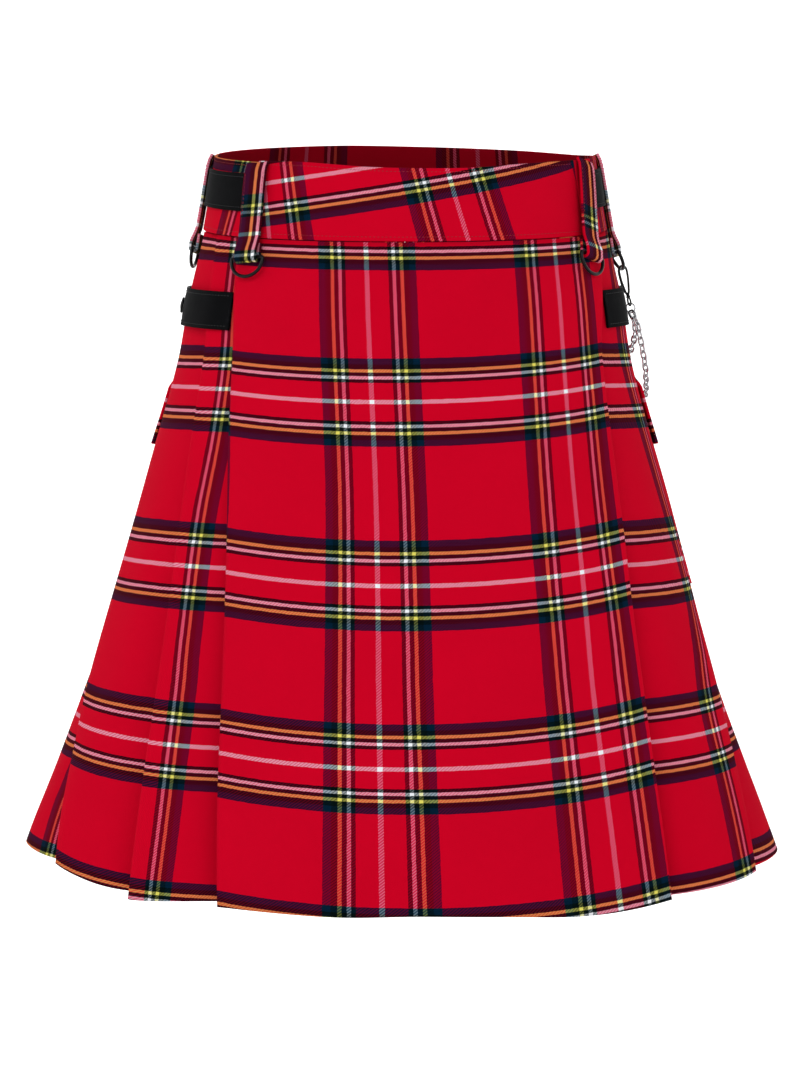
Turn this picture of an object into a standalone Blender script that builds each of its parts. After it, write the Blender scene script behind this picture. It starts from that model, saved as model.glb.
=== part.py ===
"""Scottish kilt in its worn shape: front apron, under apron, knife pleats, waistband,
belt loops with D-rings, leather straps, cargo pockets and a double wallet chain.

Metres, +Z up, front towards -Y. The origin is the centre of the waist opening, about halfway up
the waistband. Angles run round the body from the front centre: left is negative.
"""
import math
from collections import namedtuple

import bmesh
import bpy
from mathutils import Matrix, Vector

# ---------------------------------------------------------------- driving dimensions
CLOTH = 0.0012                 # wall of one layer of cloth
BAND_CLOTH = 0.0024            # waistband, yoke, loops and flaps are two layers
LEATHER = 0.0022
GAP = 0.0004                   # clearance between pieces that are sewn together
SEAM_GAP = 0.0008              # the panels hang this far below the waistband
LOOP_GAP = 0.0010              # belt loops lie this far off the waistband's middle line
POCKET_GAP = 0.0011            # pockets and flaps lie this far off the pleats' fold edges
BAND_TOP = 0.0333              # height of the waistband's top edge at the sides
BAND_HEIGHT = 0.0637
WAIST_TILT = 0.0215            # the waist rises this much from the front to the sides
SEAM_HEIGHT = -0.0320          # of the waist seam at the sides, rounded
APRON_LENGTH = 0.5549          # cloth from the waist seam to the hem at the front
HEM_SWAY = -0.0045             # the hem hangs this far to the left of the waist
PLEAT_STEP = 0.0060            # the hidden start of a pleat hangs this much higher
EDGE_CORNERS = (90, 30, -30, -90)
HIDDEN_CORNERS = (90, 0, -90)

Section = namedtuple("Section", "height half_width front back")
SECTIONS = (
    Section(0.070, 0.1590, 0.1180, 0.1180),
    Section(0.032, 0.1640, 0.1215, 0.1240),
    Section(-0.040, 0.1755, 0.1310, 0.1420),
    Section(-0.092, 0.1868, 0.1385, 0.1560),
    Section(-0.144, 0.1953, 0.1450, 0.1660),
    Section(-0.213, 0.2135, 0.1535, 0.1760),
    Section(-0.351, 0.2520, 0.1680, 0.1920),
    Section(-0.454, 0.2846, 0.1790, 0.2030),
    Section(-0.558, 0.3221, 0.1990, 0.2150),
    Section(-0.620, 0.3450, 0.2140, 0.2230),
)

# Extra length of the cloth, round the body: it hangs longer at the sides, most on the right.
Drop = namedtuple("Drop", "angle length")
DROPS = (
    Drop(-180, 0.0), Drop(-90, 0.0095), Drop(-40, 0.0062), Drop(-20, 0.0034), Drop(0, 0.0008),
    Drop(20, 0.0036), Drop(43, 0.0113), Drop(60, 0.0140), Drop(90, 0.0150), Drop(180, 0.0),
)

# Cloth distance below the waist seam at which the fold lines and pleat depths are given.
STATIONS = (0.0, 0.103, 0.273, APRON_LENGTH)
ROWS = (0.0, 0.05, 0.10, 0.145, 0.19, 0.25, 0.32, 0.395, 0.475, APRON_LENGTH)

Fold = namedtuple("Fold", "seam hip thigh hem")          # degrees from the front centre
LEFT_FOLDS = (Fold(52.8, 47.3, 37.2, 26.2), Fold(65.0, 60.0, 52.0, 41.6), Fold(80.0, 85.0, 88.0, 62.0))
RIGHT_FOLDS = (Fold(69.6, 58.6, 50.6, 41.6), Fold(88.0, 86.5, 87.5, 65.2))
BACK_FOLD = Fold(179.3, 179.2, 178.6, 177.5)
LEFT_PLEATS = 8
RIGHT_PLEATS = 7

PLEAT_DEPTH = (0.0078, 0.0095, 0.0180, 0.0290)           # at each station
PLEAT_SWELL = (1.0, 1.05, 1.4, 1.7)                      # 1 is a flat face, more a rounded one
UNDERLAP = (0.0300, 0.0290, 0.0250, 0.0200)
FOLD_OPENING = (0.0020, 0.0021, 0.0028, 0.0038)
UNDER_APRON_DEPTH = (0.0048, 0.0060, 0.0090, 0.0140)

YOKE_LEFT = -48.0
YOKE_RIGHT = 59.7

# Angles at a belt loop's top and bottom, and its ring's bar below the waist seam.
Loop = namedtuple("Loop", "name top bottom below_seam")
LOOPS = (
    Loop("front_left", -47.3, -45.5, 0.0179),
    Loop("front_right", 65.5, 58.5, 0.0179),
    Loop("side_left", -95.0, -95.0, 0.0184),
    Loop("side_right", 97.0, 97.0, 0.0224),
    Loop("back_left", -150.0, -150.0, 0.0179),
    Loop("back_right", 150.0, 150.0, 0.0179),
)
LOOP_WIDTH = 0.0235
LOOP_RISE = 0.0024             # over the strap that runs under a loop
RING_WIRE = 0.0015             # radius
RING_WIDTH = 0.0335
RING_HEIGHT = 0.0160

Strap = namedtuple("Strap", "name start end stud")       # degrees
UPPER_STRAPS = (Strap("left_upper", -47.5, -116.0, -107.0), Strap("right_upper", 62.5, 118.0, 109.5))
LOWER_STRAPS = (Strap("left_lower", -51.0, -101.0, -90.0), Strap("right_lower", 66.0, 112.0, 102.0))
STRAP_WIDTH = 0.0320
UPPER_STRAP_RISE = 0.0055      # above the middle of the waistband
LOWER_STRAP_HEIGHT = -0.0961
LOWER_STRAP_TILT = 0.0170      # a lower strap rises this much from the front to the sides
LOWER_STRAP_ROW = 0.065        # cloth distance below the seam at the lower strap
STRAP_GAP = 0.0006             # clearance of an upper strap's inner face from the cloth
LOWER_STRAP_GAP = 0.0010       # and of a lower strap's from the pleats
SUNK_START_LEFT = -0.0030      # a lower strap starts this far in, beside the apron's edge
SUNK_START_RIGHT = -0.0044
STUD_RADIUS = 0.0069
STUD_HEIGHT = 0.0026

POCKET_FRONT_LEFT = 100.5      # angles of the pockets' front edges
POCKET_FRONT_RIGHT = 98.0
POCKET_WIDTH = 0.150
POCKET_TOP = -0.1680
POCKET_BOTTOM = -0.3360
POCKET_DEPTHS_LEFT = (0.0024, 0.0036, 0.0036, 0.0028, 0.0024)
POCKET_DEPTHS_RIGHT = (0.0024, 0.0036, 0.0050, 0.0055, 0.0058)
FLAP_WIDTH = 0.156
FLAP_TOP = -0.1560
FLAP_BOTTOM = -0.2150

# A ring that holds a snap hook tilts out, and the hook leans out from the loop's own line.
Hang = namedtuple("Hang", "name ring_tilt lean")         # degrees
HANGS = {"side_right": Hang("side", 18.0, 3.0), "back_right": Hang("back", 20.0, 9.0)}
FREE_RING_TILT = 0.0
HOOK_WIRE = 0.0010             # radius of the snap hook's bow
Bow = namedtuple("Bow", "along half_width")              # outline from the top of the bow
BOW = (Bow(0.0, 0.0), Bow(0.0006, 0.0019), Bow(0.0028, 0.0034), Bow(0.0065, 0.0036),
       Bow(0.0130, 0.0031), Bow(0.0190, 0.0022), Bow(0.0250, 0.0012))
BARREL_START = 0.0240          # below the top of the bow
BARREL_END = 0.0285
BARREL_RADIUS = 0.0019
KNOB_DOWN = 0.0175             # the lever's knob below the top of the bow
KNOB_FROM = 0.0024             # start and end of the knob, inwards from the bow's middle
KNOB_TO = 0.0050
KNOB_RADIUS = 0.0011
EYE_HALF_WIDTH = 0.0026
EYE_HALF_HEIGHT = 0.0036
EYE_WIRE = 0.0008
EYE_TURN = 50.0                # degrees from the bow's plane
SPLIT_RING_RADIUS = 0.0042
SPLIT_RING_WIRE = 0.0008

CHAIN_RADIUS = 0.0030
CHAIN_STEP = 0.0060            # distance between the points of a chain's route
LINK_SHARE = 0.45              # a chain is this much narrower where it meets a split ring
CHAINS_APART = 0.0042          # distance between the two chains on a split ring
Knot = namedtuple("Knot", "angle height out")
SHORT_CHAIN = (
    Knot(98.4, -0.1120, 0.0125), Knot(101.5, -0.1250, 0.0120), Knot(109, -0.1390, 0.0110),
    Knot(121, -0.1440, 0.0110), Knot(134, -0.1340, 0.0110), Knot(144.5, -0.1110, 0.0120),
    Knot(149.3, -0.0910, 0.0145),
)
LONG_CHAIN = (
    Knot(95.7, -0.1120, 0.0125), Knot(96.2, -0.1320, 0.0145), Knot(100.5, -0.1550, 0.0165),
    Knot(110, -0.1740, 0.0215), Knot(122, -0.1790, 0.0225), Knot(134, -0.1680, 0.0190),
    Knot(143, -0.1480, 0.0130), Knot(150.0, -0.1200, 0.0125), Knot(152.4, -0.0910, 0.0145),
)

COLOURS = {                    # colour, roughness, metallic
    "cloth": ((0.62, 0.005, 0.02, 1), 0.9, 0.0),
    "leather": ((0.012, 0.012, 0.014, 1), 0.45, 0.0),
    "black_metal": ((0.02, 0.02, 0.022, 1), 0.35, 0.9),
    "steel": ((0.55, 0.55, 0.57, 1), 0.25, 1.0),
}


# ---------------------------------------------------------------- the worn shape
def through(places, values, at):
    """Value at a place on the smooth curve through the given values."""
    last = len(places) - 1
    index = 0
    while index < last - 1 and (at - places[index + 1]) * (places[1] - places[0]) > 0:
        index += 1
    step = places[index + 1] - places[index]
    share = (at - places[index]) / step

    def slope(k):
        low, high = max(k - 1, 0), min(k + 1, last)
        return (values[high] - values[low]) / (places[high] - places[low])

    first, second = values[index], values[index + 1]
    share2, share3 = share * share, share ** 3
    return ((2 * share3 - 3 * share2 + 1) * first + (share3 - 2 * share2 + share) * step * slope(index)
            + (3 * share2 - 2 * share3) * second + (share3 - share2) * step * slope(index + 1))


def ring_size(angle, height):
    """Half width of the ring at a height and its depth on the angle's side."""
    heights = [section.height for section in SECTIONS]
    half_width = through(heights, [section.half_width for section in SECTIONS], height)
    front = math.cos(angle) > 0
    depth = through(heights, [section.front if front else section.back for section in SECTIONS], height)
    return half_width, depth


def surface(angle, height, out=0.0):
    """Point on the worn shape, moved out along the ring's level normal."""
    half_width, depth = ring_size(angle, height)
    normal = Vector((depth * math.sin(angle), -half_width * math.cos(angle))).normalized()
    sway = HEM_SWAY * min(max((-height - 0.10) / 0.50, 0.0), 1.0)
    x = half_width * math.sin(angle) + sway + normal.x * out
    y = -depth * math.cos(angle) + normal.y * out
    return Vector((x, y, height))


def turn_for(length, angle, height):
    """Angle that a length takes along the ring."""
    half_width, depth = ring_size(angle, height)
    return length / math.hypot(half_width * math.cos(angle), depth * math.sin(angle))


def band_height(angle, share):
    """Height on the waistband: share 0 is its top edge, 1 the waist seam."""
    return BAND_TOP - BAND_HEIGHT * share - WAIST_TILT * math.cos(angle)


def hang(angles, rows):
    """Heights of one line of cloth, its length kept while the shape flares."""
    drop = through([drop.angle for drop in DROPS], [drop.length for drop in DROPS], math.degrees(angles[0]))
    longer = 1 + drop / APRON_LENGTH
    heights = [band_height(angles[0], 1.0) - SEAM_GAP]
    for row in range(1, len(rows)):
        step = (rows[row] - rows[row - 1]) * longer
        above = surface(angles[row - 1], heights[-1])
        height = heights[-1] - step
        for _ in range(5):
            run = (surface(angles[row], height) - above).xy.length
            height = heights[-1] - math.sqrt(max(step * step - run * run, 0.5 * step * step))
        heights.append(height)
    return heights


# ---------------------------------------------------------------- pleats
Spot = namedtuple("Spot", "angle out rise")              # one point of a row of cloth


def fold_edges(seen, count, row):
    """Angles of the apron's edge and of every pleat's fold edge at a row, in radians."""
    edges = [math.radians(through(STATIONS, fold, row)) for fold in seen]
    last = math.radians(through(STATIONS, BACK_FOLD, row))
    height = SEAM_HEIGHT - row
    samples = 90
    angles = [edges[-1] + (last - edges[-1]) * k / samples for k in range(samples + 1)]
    travelled = [0.0]
    for angle in angles[:-1]:
        travelled.append(travelled[-1] + 1 / turn_for(1.0, angle, height))
    hidden = count + 1 - len(edges)
    for number in range(1, hidden + 1):
        goal = travelled[-1] * number / hidden
        index = max(k for k in range(samples + 1) if travelled[k] <= goal + 1e-12)
        index = min(index, samples - 1)
        share = (goal - travelled[index]) / (travelled[index + 1] - travelled[index])
        edges.append(angles[index] + (angles[index + 1] - angles[index]) * share)
    return edges


def inner_folds(edges, row):
    """Angle of the hidden fold under each fold edge."""
    underlap = through(STATIONS, UNDERLAP, row)
    height = SEAM_HEIGHT - row
    folds = []
    for number, edge in enumerate(edges):
        room = underlap
        if number:
            width = (edge - edges[number - 1]) / turn_for(1.0, edge, height)
            room = min(underlap, 0.8 * width)
        folds.append(edge - turn_for(room, edge, height))
    return folds


def hairpin(angle, middle, radius, side, height):
    """Spots round a fold: side 1 turns in at a fold edge, -1 turns back at a hidden fold."""
    spots = []
    for corner in EDGE_CORNERS if side > 0 else HIDDEN_CORNERS:
        around = math.radians(corner)
        shift = turn_for(radius * math.cos(around), angle, height)
        spots.append((angle + side * shift, middle + radius * math.sin(around)))
    return spots


def pleat_row(seen, count, row, starts_folded):
    """Spots along one row of a pleated side, from under the apron to the back centre."""
    depth = through(STATIONS, PLEAT_DEPTH, row)
    opening = through(STATIONS, FOLD_OPENING, row)
    swell = through(STATIONS, PLEAT_SWELL, row)
    step = PLEAT_STEP * min(row / 0.05, 1.0)
    height = SEAM_HEIGHT - row
    edges = fold_edges(seen, count, row)
    inner = inner_folds(edges, row)
    spots = []
    for number in range(1, count + 1):
        start, end = inner[number - 1], edges[number]
        if number > 1 or starts_folded:
            for angle, out in hairpin(start, -depth + opening / 2, opening / 2, -1, height):
                spots.append(Spot(angle, out, step))
        else:
            spots.append(Spot(start, -depth, step))
        for share in (0.25, 0.5, 0.75):
            out = -depth * (1 - share) ** swell
            spots.append(Spot(start + (end - start) * share, out, step * (1 - share)))
        for angle, out in hairpin(end, -opening / 2, opening / 2, 1, height):
            spots.append(Spot(angle, out, 0.0))
        spots.append(Spot((end + inner[number]) / 2, -depth / 2, step / 2))
    for angle, out in hairpin(inner[count], -depth + opening / 2, opening / 2, -1, height):
        spots.append(Spot(angle, out, step))
    centre = math.pi - turn_for(GAP / 2, math.pi, height)
    for share in (0.5, 1.0):
        spots.append(Spot(inner[count] + (centre - inner[count]) * share, -depth, step))
    return spots


def apron_row(row):
    """Spots along one row of the front apron, with the fold under its right edge."""
    depth = through(STATIONS, PLEAT_DEPTH, row)
    opening = through(STATIONS, FOLD_OPENING, row)
    step = PLEAT_STEP * min(row / 0.05, 1.0)
    height = SEAM_HEIGHT - row
    left = -fold_edges(LEFT_FOLDS, LEFT_PLEATS, row)[0]
    right_edges = fold_edges(RIGHT_FOLDS, RIGHT_PLEATS, row)
    right, under = right_edges[0], inner_folds(right_edges, row)[0]
    under += turn_for(2 * GAP, under, height)
    columns = 20
    spots = [Spot(left + (right - left) * k / columns, 0.0, 0.0) for k in range(columns)]
    spots += [Spot(angle, out, 0.0) for angle, out in hairpin(right, -opening / 2, opening / 2, 1, height)]
    for share in (0.5, 1.0):
        out = -opening + (2 * opening - depth) * share
        spots.append(Spot(right + (under - right) * share, out, step * share))
    return spots


def under_apron_row(row):
    """Spots along one row of the under apron, from its free right edge to the left pleats."""
    depth = through(STATIONS, PLEAT_DEPTH, row)
    inside = through(STATIONS, UNDER_APRON_DEPTH, row)
    step = PLEAT_STEP * min(row / 0.05, 1.0)
    height = SEAM_HEIGHT - row
    right = inner_folds(fold_edges(RIGHT_FOLDS, RIGHT_PLEATS, row), row)[0]
    right -= turn_for(0.012, right, height)
    left = -inner_folds(fold_edges(LEFT_FOLDS, LEFT_PLEATS, row), row)[0]
    left += turn_for(2 * GAP, left, height)
    columns = 16
    spots = []
    for k in range(columns + 1):
        share = k / columns
        rest = max(0.0, (share - 0.55) / 0.45)
        ease = rest * rest * (3 - 2 * rest)
        spots.append(Spot(right + (left - right) * share, -inside - (depth - inside) * ease, step * ease))
    return spots


# ---------------------------------------------------------------- making objects
def new_object(name, bm, finish):
    """Object of its own mesh and material, from a bmesh that is then freed."""
    mesh = bpy.data.meshes.new(name)
    bm.to_mesh(mesh)
    bm.free()
    material = bpy.data.materials.new(name)
    material.use_nodes = True
    shader = material.node_tree.nodes["Principled BSDF"]
    colour, roughness, metallic = COLOURS[finish]
    shader.inputs["Base Color"].default_value = colour
    shader.inputs["Roughness"].default_value = roughness
    shader.inputs["Metallic"].default_value = metallic
    mesh.materials.append(material)
    mesh.shade_smooth()
    mesh.set_sharp_from_angle(angle=math.radians(40))
    obj = bpy.data.objects.new(name, mesh)
    bpy.data.collections["kilt"].objects.link(obj)
    return obj


def sheet(name, columns, thickness, finish):
    """Cloth wall through columns of points, all with the same number of rows."""
    bm = bmesh.new()
    rows = len(columns[0])
    bmesh.ops.create_grid(bm, x_segments=len(columns) - 1, y_segments=rows - 1, size=1)
    bm.verts.ensure_lookup_table()
    for index, vert in enumerate(bm.verts):
        row, column = divmod(index, len(columns))
        vert.co = columns[column][row]
    obj = new_object(name, bm, finish)
    wall = obj.modifiers.new("wall", "SOLIDIFY")
    wall.thickness = thickness
    wall.offset = 0.0
    wall.use_even_offset = True
    return obj


def cloth_panel(name, row_of_spots, side=1):
    """Hanging panel whose rows are given by a function of the distance below the seam."""
    rows = [row_of_spots(row) for row in ROWS]
    columns = []
    for place in range(len(rows[0])):
        line = [spots[place] for spots in rows]
        angles = [side * spot.angle for spot in line]
        heights = hang(angles, ROWS)
        columns.append([surface(angle, height + spot.rise, spot.out - CLOTH / 2)
                        for angle, height, spot in zip(angles, heights, line)])
    return sheet(name, columns, CLOTH, "cloth")


def band_panel(name, start, end, count):
    """Stretch of the waistband between two angles in degrees."""
    columns = []
    for k in range(count + 1):
        angle = math.radians(start + (end - start) * k / count)
        inset = turn_for(GAP / 2, angle, 0.0) * (1 if k == 0 else -1 if k == count else 0)
        angle += math.copysign(1.0, end - start) * inset
        columns.append([surface(angle, band_height(angle, share), -BAND_CLOTH / 2)
                        for share in (0.0, 0.33, 0.67, 1.0)])
    return sheet(name, columns, BAND_CLOTH, "cloth")


def tube(name, points, radius, finish, closed=False, resolution=2, end_share=1.0):
    """Round wire through the points, as a mesh with welded caps."""
    curve = bpy.data.curves.new(name, "CURVE")
    curve.dimensions = "3D"
    curve.bevel_depth = radius
    curve.bevel_resolution = resolution
    curve.use_fill_caps = not closed
    spline = curve.splines.new("POLY")
    spline.points.add(len(points) - 1)
    for spot, point in zip(spline.points, points):
        spot.co = (*point, 1.0)
    for spot in (spline.points[0], spline.points[-1]):
        spot.radius = end_share
    spline.use_cyclic_u = closed
    guide = bpy.data.objects.new(name + ".guide", curve)
    bpy.data.collections["kilt"].objects.link(guide)
    bpy.context.view_layer.update()
    mesh = bpy.data.meshes.new_from_object(guide.evaluated_get(bpy.context.evaluated_depsgraph_get()))
    bm = bmesh.new()
    bm.from_mesh(mesh)
    bmesh.ops.remove_doubles(bm, verts=bm.verts, dist=0.00002)
    bpy.data.meshes.remove(mesh)
    bpy.data.objects.remove(guide)
    return new_object(name, bm, finish)


def join_solids(main, others):
    """Union of closed bodies; the others are removed."""
    for other in others:
        union = main.modifiers.new("union", "BOOLEAN")
        union.operation = "UNION"
        union.solver = "EXACT"
        union.object = other
        bpy.context.view_layer.update()
        evaluated = main.evaluated_get(bpy.context.evaluated_depsgraph_get())
        mesh = bpy.data.meshes.new_from_object(evaluated)
        main.modifiers.clear()
        main.data = mesh
        bpy.data.objects.remove(other)
    return main


# ---------------------------------------------------------------- belt loops and rings
class LoopFrame:
    """Straight axis of a belt loop on the waistband, with its own directions."""

    def __init__(self, loop):
        top_angle, low_angle = math.radians(loop.top), math.radians(loop.bottom)
        self.top = surface(top_angle, band_height(top_angle, 0.0))
        bar_height = band_height(low_angle, 1.0) - loop.below_seam
        low = surface(low_angle, bar_height)
        self.length = (low - self.top).length
        self.down = (low - self.top).normalized()
        outward = surface((top_angle + low_angle) / 2, 0.0, 1.0) - surface((top_angle + low_angle) / 2, 0.0)
        self.across = outward.cross(self.down).normalized()
        self.out = self.down.cross(self.across).normalized()
        swell = 0.0
        for k in range(9):
            angle = top_angle + (low_angle - top_angle) * k / 8
            height = self.top.z + (low.z - self.top.z) * k / 8
            swell = max(swell, (surface(angle, height) - self.top).dot(self.out))
        self.base = swell + LOOP_GAP + BAND_CLOTH / 2

    def point(self, along, out, across=0.0):
        """Point at a distance down the loop, out from the cloth and across it."""
        return self.top + self.down * along + self.out * out + self.across * across

    def bar(self):
        """Centre of the ring's straight bar, in the loop's bottom fold."""
        return self.point(self.length, self.base + RING_WIRE + GAP + BAND_CLOTH / 2)


def belt_loop(loop, frame):
    """Doubled strip: sewn at the top, over the strap, folded round the ring's bar."""
    end = frame.length
    turn = RING_WIRE + GAP + BAND_CLOTH / 2
    low = frame.base
    profile = [(0.0010, low), (0.0030, low + 0.0003), (0.0085, low + LOOP_RISE),
               (end - 0.020, low + LOOP_RISE), (end - 0.013, low + LOOP_RISE + 0.0014),
               (end - 0.006, low + 2 * turn)]
    for degrees in range(90, -91, -30):
        around = math.radians(degrees)
        profile.append((end + turn * math.cos(around), low + turn + turn * math.sin(around)))
    profile += [(end - 0.005, low), (end - 0.0125, low)]
    columns = []
    for share in (-0.5, 0.5):
        columns.append([frame.point(along, out, LOOP_WIDTH * share) for along, out in profile])
    return sheet("loop_" + loop.name, columns, BAND_CLOTH, "cloth")


def ring_points(tilt):
    """Centre line of a D-ring: (across, down, out) from the middle of its bar."""
    points = [(-RING_WIDTH / 2 + RING_WIDTH * k / 4, 0.0) for k in range(5)]
    steps = 14
    for k in range(steps + 1):
        around = math.pi * k / steps
        points.append((RING_WIDTH / 2 * math.cos(around), 0.0025 + (RING_HEIGHT - 0.0025) * math.sin(around)))
    return [(across, down * math.cos(tilt), down * math.sin(tilt)) for across, down in points]


def d_ring(loop, frame, tilt):
    """Wire ring whose bar lies in the loop's bottom fold."""
    points = []
    for across, down, out in ring_points(tilt):
        points.append(frame.across * across + frame.down * down + frame.out * out)
    ring = tube("ring_" + loop.name, points, RING_WIRE, "black_metal", closed=True)
    ring.location = frame.bar()
    return ring


# ---------------------------------------------------------------- snap hooks and split rings
def snap_hook(frame, hang):
    """Snap hook on a loop's D-ring and the split ring in its eye: where the two chains start."""
    tilt, lean = math.radians(hang.ring_tilt), math.radians(hang.lean)
    down = frame.down * math.cos(lean) + frame.out * math.sin(lean)
    out = frame.out * math.cos(lean) - frame.down * math.sin(lean)
    lowest = frame.bar() + (frame.down * math.cos(tilt) + frame.out * math.sin(tilt)) * RING_HEIGHT
    top = lowest - down * (RING_WIRE + HOOK_WIRE + GAP)

    outline = [top + down * spot.along + out * spot.half_width for spot in BOW]
    outline += [top + down * spot.along - out * spot.half_width for spot in reversed(BOW[1:])]
    hook = tube("hook_" + hang.name, outline, HOOK_WIRE, "black_metal", closed=True, resolution=1)
    barrel = rod(top + down * BARREL_START, top + down * BARREL_END, BARREL_RADIUS)
    lever = top + down * KNOB_DOWN
    knob = rod(lever - out * KNOB_FROM, lever - out * KNOB_TO, KNOB_RADIUS)

    turned = math.radians(EYE_TURN)
    wide = out * math.cos(turned) + frame.across * math.sin(turned)
    middle = top + down * (BARREL_END + EYE_HALF_HEIGHT - EYE_WIRE / 2)
    eye = tube("eye", oval(middle, wide * EYE_HALF_WIDTH, down * EYE_HALF_HEIGHT, 14), EYE_WIRE,
               "black_metal", closed=True, resolution=1)
    join_solids(hook, (barrel, knob, eye))

    crossing = frame.across * math.cos(turned) - out * math.sin(turned)
    middle += down * (EYE_HALF_HEIGHT + SPLIT_RING_RADIUS - EYE_WIRE - SPLIT_RING_WIRE - GAP)
    tube("split_ring_" + hang.name, oval(middle, crossing * SPLIT_RING_RADIUS, down * SPLIT_RING_RADIUS, 18),
         SPLIT_RING_WIRE, "steel", closed=True, resolution=1)
    lowest = middle + down * (SPLIT_RING_RADIUS + SPLIT_RING_WIRE + GAP)
    apart = frame.across * CHAINS_APART / 2
    return lowest + apart, lowest - apart


def oval(middle, wide, tall, count):
    """Points round an oval with the given half axes."""
    turns = [math.tau * k / count for k in range(count)]
    return [middle + wide * math.cos(turn) + tall * math.sin(turn) for turn in turns]


def rod(start, end, radius):
    """Short round bar between two points."""
    return tube("rod", [start, (start + end) / 2, end], radius, "black_metal", resolution=2)


# ---------------------------------------------------------------- leather straps
def strap_panel(strap, centre_height, out_at):
    """Leather strap along the ring with a rounded tip."""
    start, end = math.radians(strap.start), math.radians(strap.end)
    side = math.copysign(1.0, end)
    tip = turn_for(0.012, end, centre_height(end))
    body = [start + (end - side * tip - start) * k / 11 for k in range(12)]
    places = [(angle, 1.0) for angle in body]
    for share, width in ((0.45, 0.92), (0.8, 0.66), (1.0, 0.30)):
        places.append((end - side * tip * (1 - share), width))
    columns = []
    for angle, width in places:
        half = STRAP_WIDTH / 2 * width
        middle = centre_height(angle)
        out = out_at(angle) + LEATHER / 2
        columns.append([surface(angle, middle + half * part, out) for part in (1, 0.33, -0.33, -1)])
    return sheet("strap_" + strap.name, columns, LEATHER, "leather")


def stud(strap, centre_height, out):
    """Domed snap stud on a strap."""
    angle = math.radians(strap.stud)
    height = centre_height(angle)
    foot = surface(angle, height, out)
    normal = (surface(angle, height, out + 0.01) - foot).normalized()
    slope = surface(angle, height + 0.01, out) - surface(angle, height - 0.01, out)
    normal = (normal - slope.normalized() * normal.dot(slope.normalized())).normalized()
    bm = bmesh.new()
    bmesh.ops.create_cone(bm, cap_ends=True, segments=20, radius1=STUD_RADIUS, radius2=STUD_RADIUS,
                          depth=STUD_HEIGHT)
    rim = [edge for edge in bm.edges if min(vert.co.z for vert in edge.verts) > 0]
    bmesh.ops.bevel(bm, geom=rim, offset=0.0012, offset_type="OFFSET", segments=2, profile=0.5,
                    affect="EDGES", material=-1)
    turn = Vector((0, 0, 1)).rotation_difference(normal).to_matrix().to_4x4()
    bmesh.ops.transform(bm, matrix=Matrix.Translation(foot + normal * STUD_HEIGHT / 2) @ turn, verts=bm.verts)
    return new_object("stud_" + strap.name, bm, "black_metal")


def upper_strap_height(angle):
    """Middle of the upper strap, which runs along the waistband."""
    return band_height(angle, 0.5) + UPPER_STRAP_RISE


def lower_strap_height(angle):
    """Middle of the lower strap, round the hip."""
    return LOWER_STRAP_HEIGHT - LOWER_STRAP_TILT * math.cos(angle)


def upper_strap_out(_angle):
    """Inner face of the upper strap, on the waistband."""
    return STRAP_GAP


def lower_strap_out(angle):
    """Inner face of a lower strap: it rises from beside the apron's edge on to the pleats."""
    folds = LEFT_FOLDS if angle < 0 else RIGHT_FOLDS
    edge, first = [math.radians(through(STATIONS, fold, LOWER_STRAP_ROW)) for fold in folds[:2]]
    start = SUNK_START_LEFT if angle < 0 else SUNK_START_RIGHT
    share = min(max((abs(angle) - edge) / (first - edge), 0.0), 1.0)
    return start + (LOWER_STRAP_GAP - start) * share


# ---------------------------------------------------------------- cargo pockets
def side_angle(side, across, height):
    """Angle at a distance behind the pocket's front edge."""
    front = math.radians(POCKET_FRONT_LEFT if side < 0 else POCKET_FRONT_RIGHT)
    return side * (front + turn_for(across, front + 0.35, height))


def pocket(side, name):
    """Open-topped pouch that stands off the pleats."""
    steps = 8
    heights = [POCKET_TOP + (POCKET_BOTTOM - POCKET_TOP) * k / 4 for k in range(5)]
    back = POCKET_GAP + CLOTH / 2
    bm = bmesh.new()
    loops = []
    for height, depth in zip(heights, POCKET_DEPTHS_LEFT if side < 0 else POCKET_DEPTHS_RIGHT):
        ring = []
        for k in range(steps + 1):
            ring.append((POCKET_WIDTH * k / steps, back))
        ring.append((POCKET_WIDTH, back + depth * 0.6))
        for k in range(steps, -1, -1):
            inset = 0.003 if k in (0, steps) else 0.0
            ring.append((POCKET_WIDTH * k / steps + (inset if k == 0 else -inset), back + depth))
        ring.append((0.0, back + depth * 0.6))
        verts = [bm.verts.new(surface(side_angle(side, across, height), height, out)) for across, out in ring]
        loops.append([bm.edges.new((verts[k - 1], verts[k])) for k in range(len(verts))])
    for upper, lower in zip(loops, loops[1:]):
        bmesh.ops.bridge_loops(bm, edges=upper + lower)
    bmesh.ops.contextual_create(bm, geom=loops[-1])
    bottom = [face for face in bm.faces if len(face.verts) > 4]
    bmesh.ops.triangulate(bm, faces=bottom)
    bmesh.ops.recalc_face_normals(bm, faces=bm.faces)
    body = new_object("pocket_" + name, bm, "cloth")
    wall = body.modifiers.new("wall", "SOLIDIFY")
    wall.thickness = CLOTH
    wall.offset = 0.0
    wall.use_even_offset = True
    return body


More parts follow.
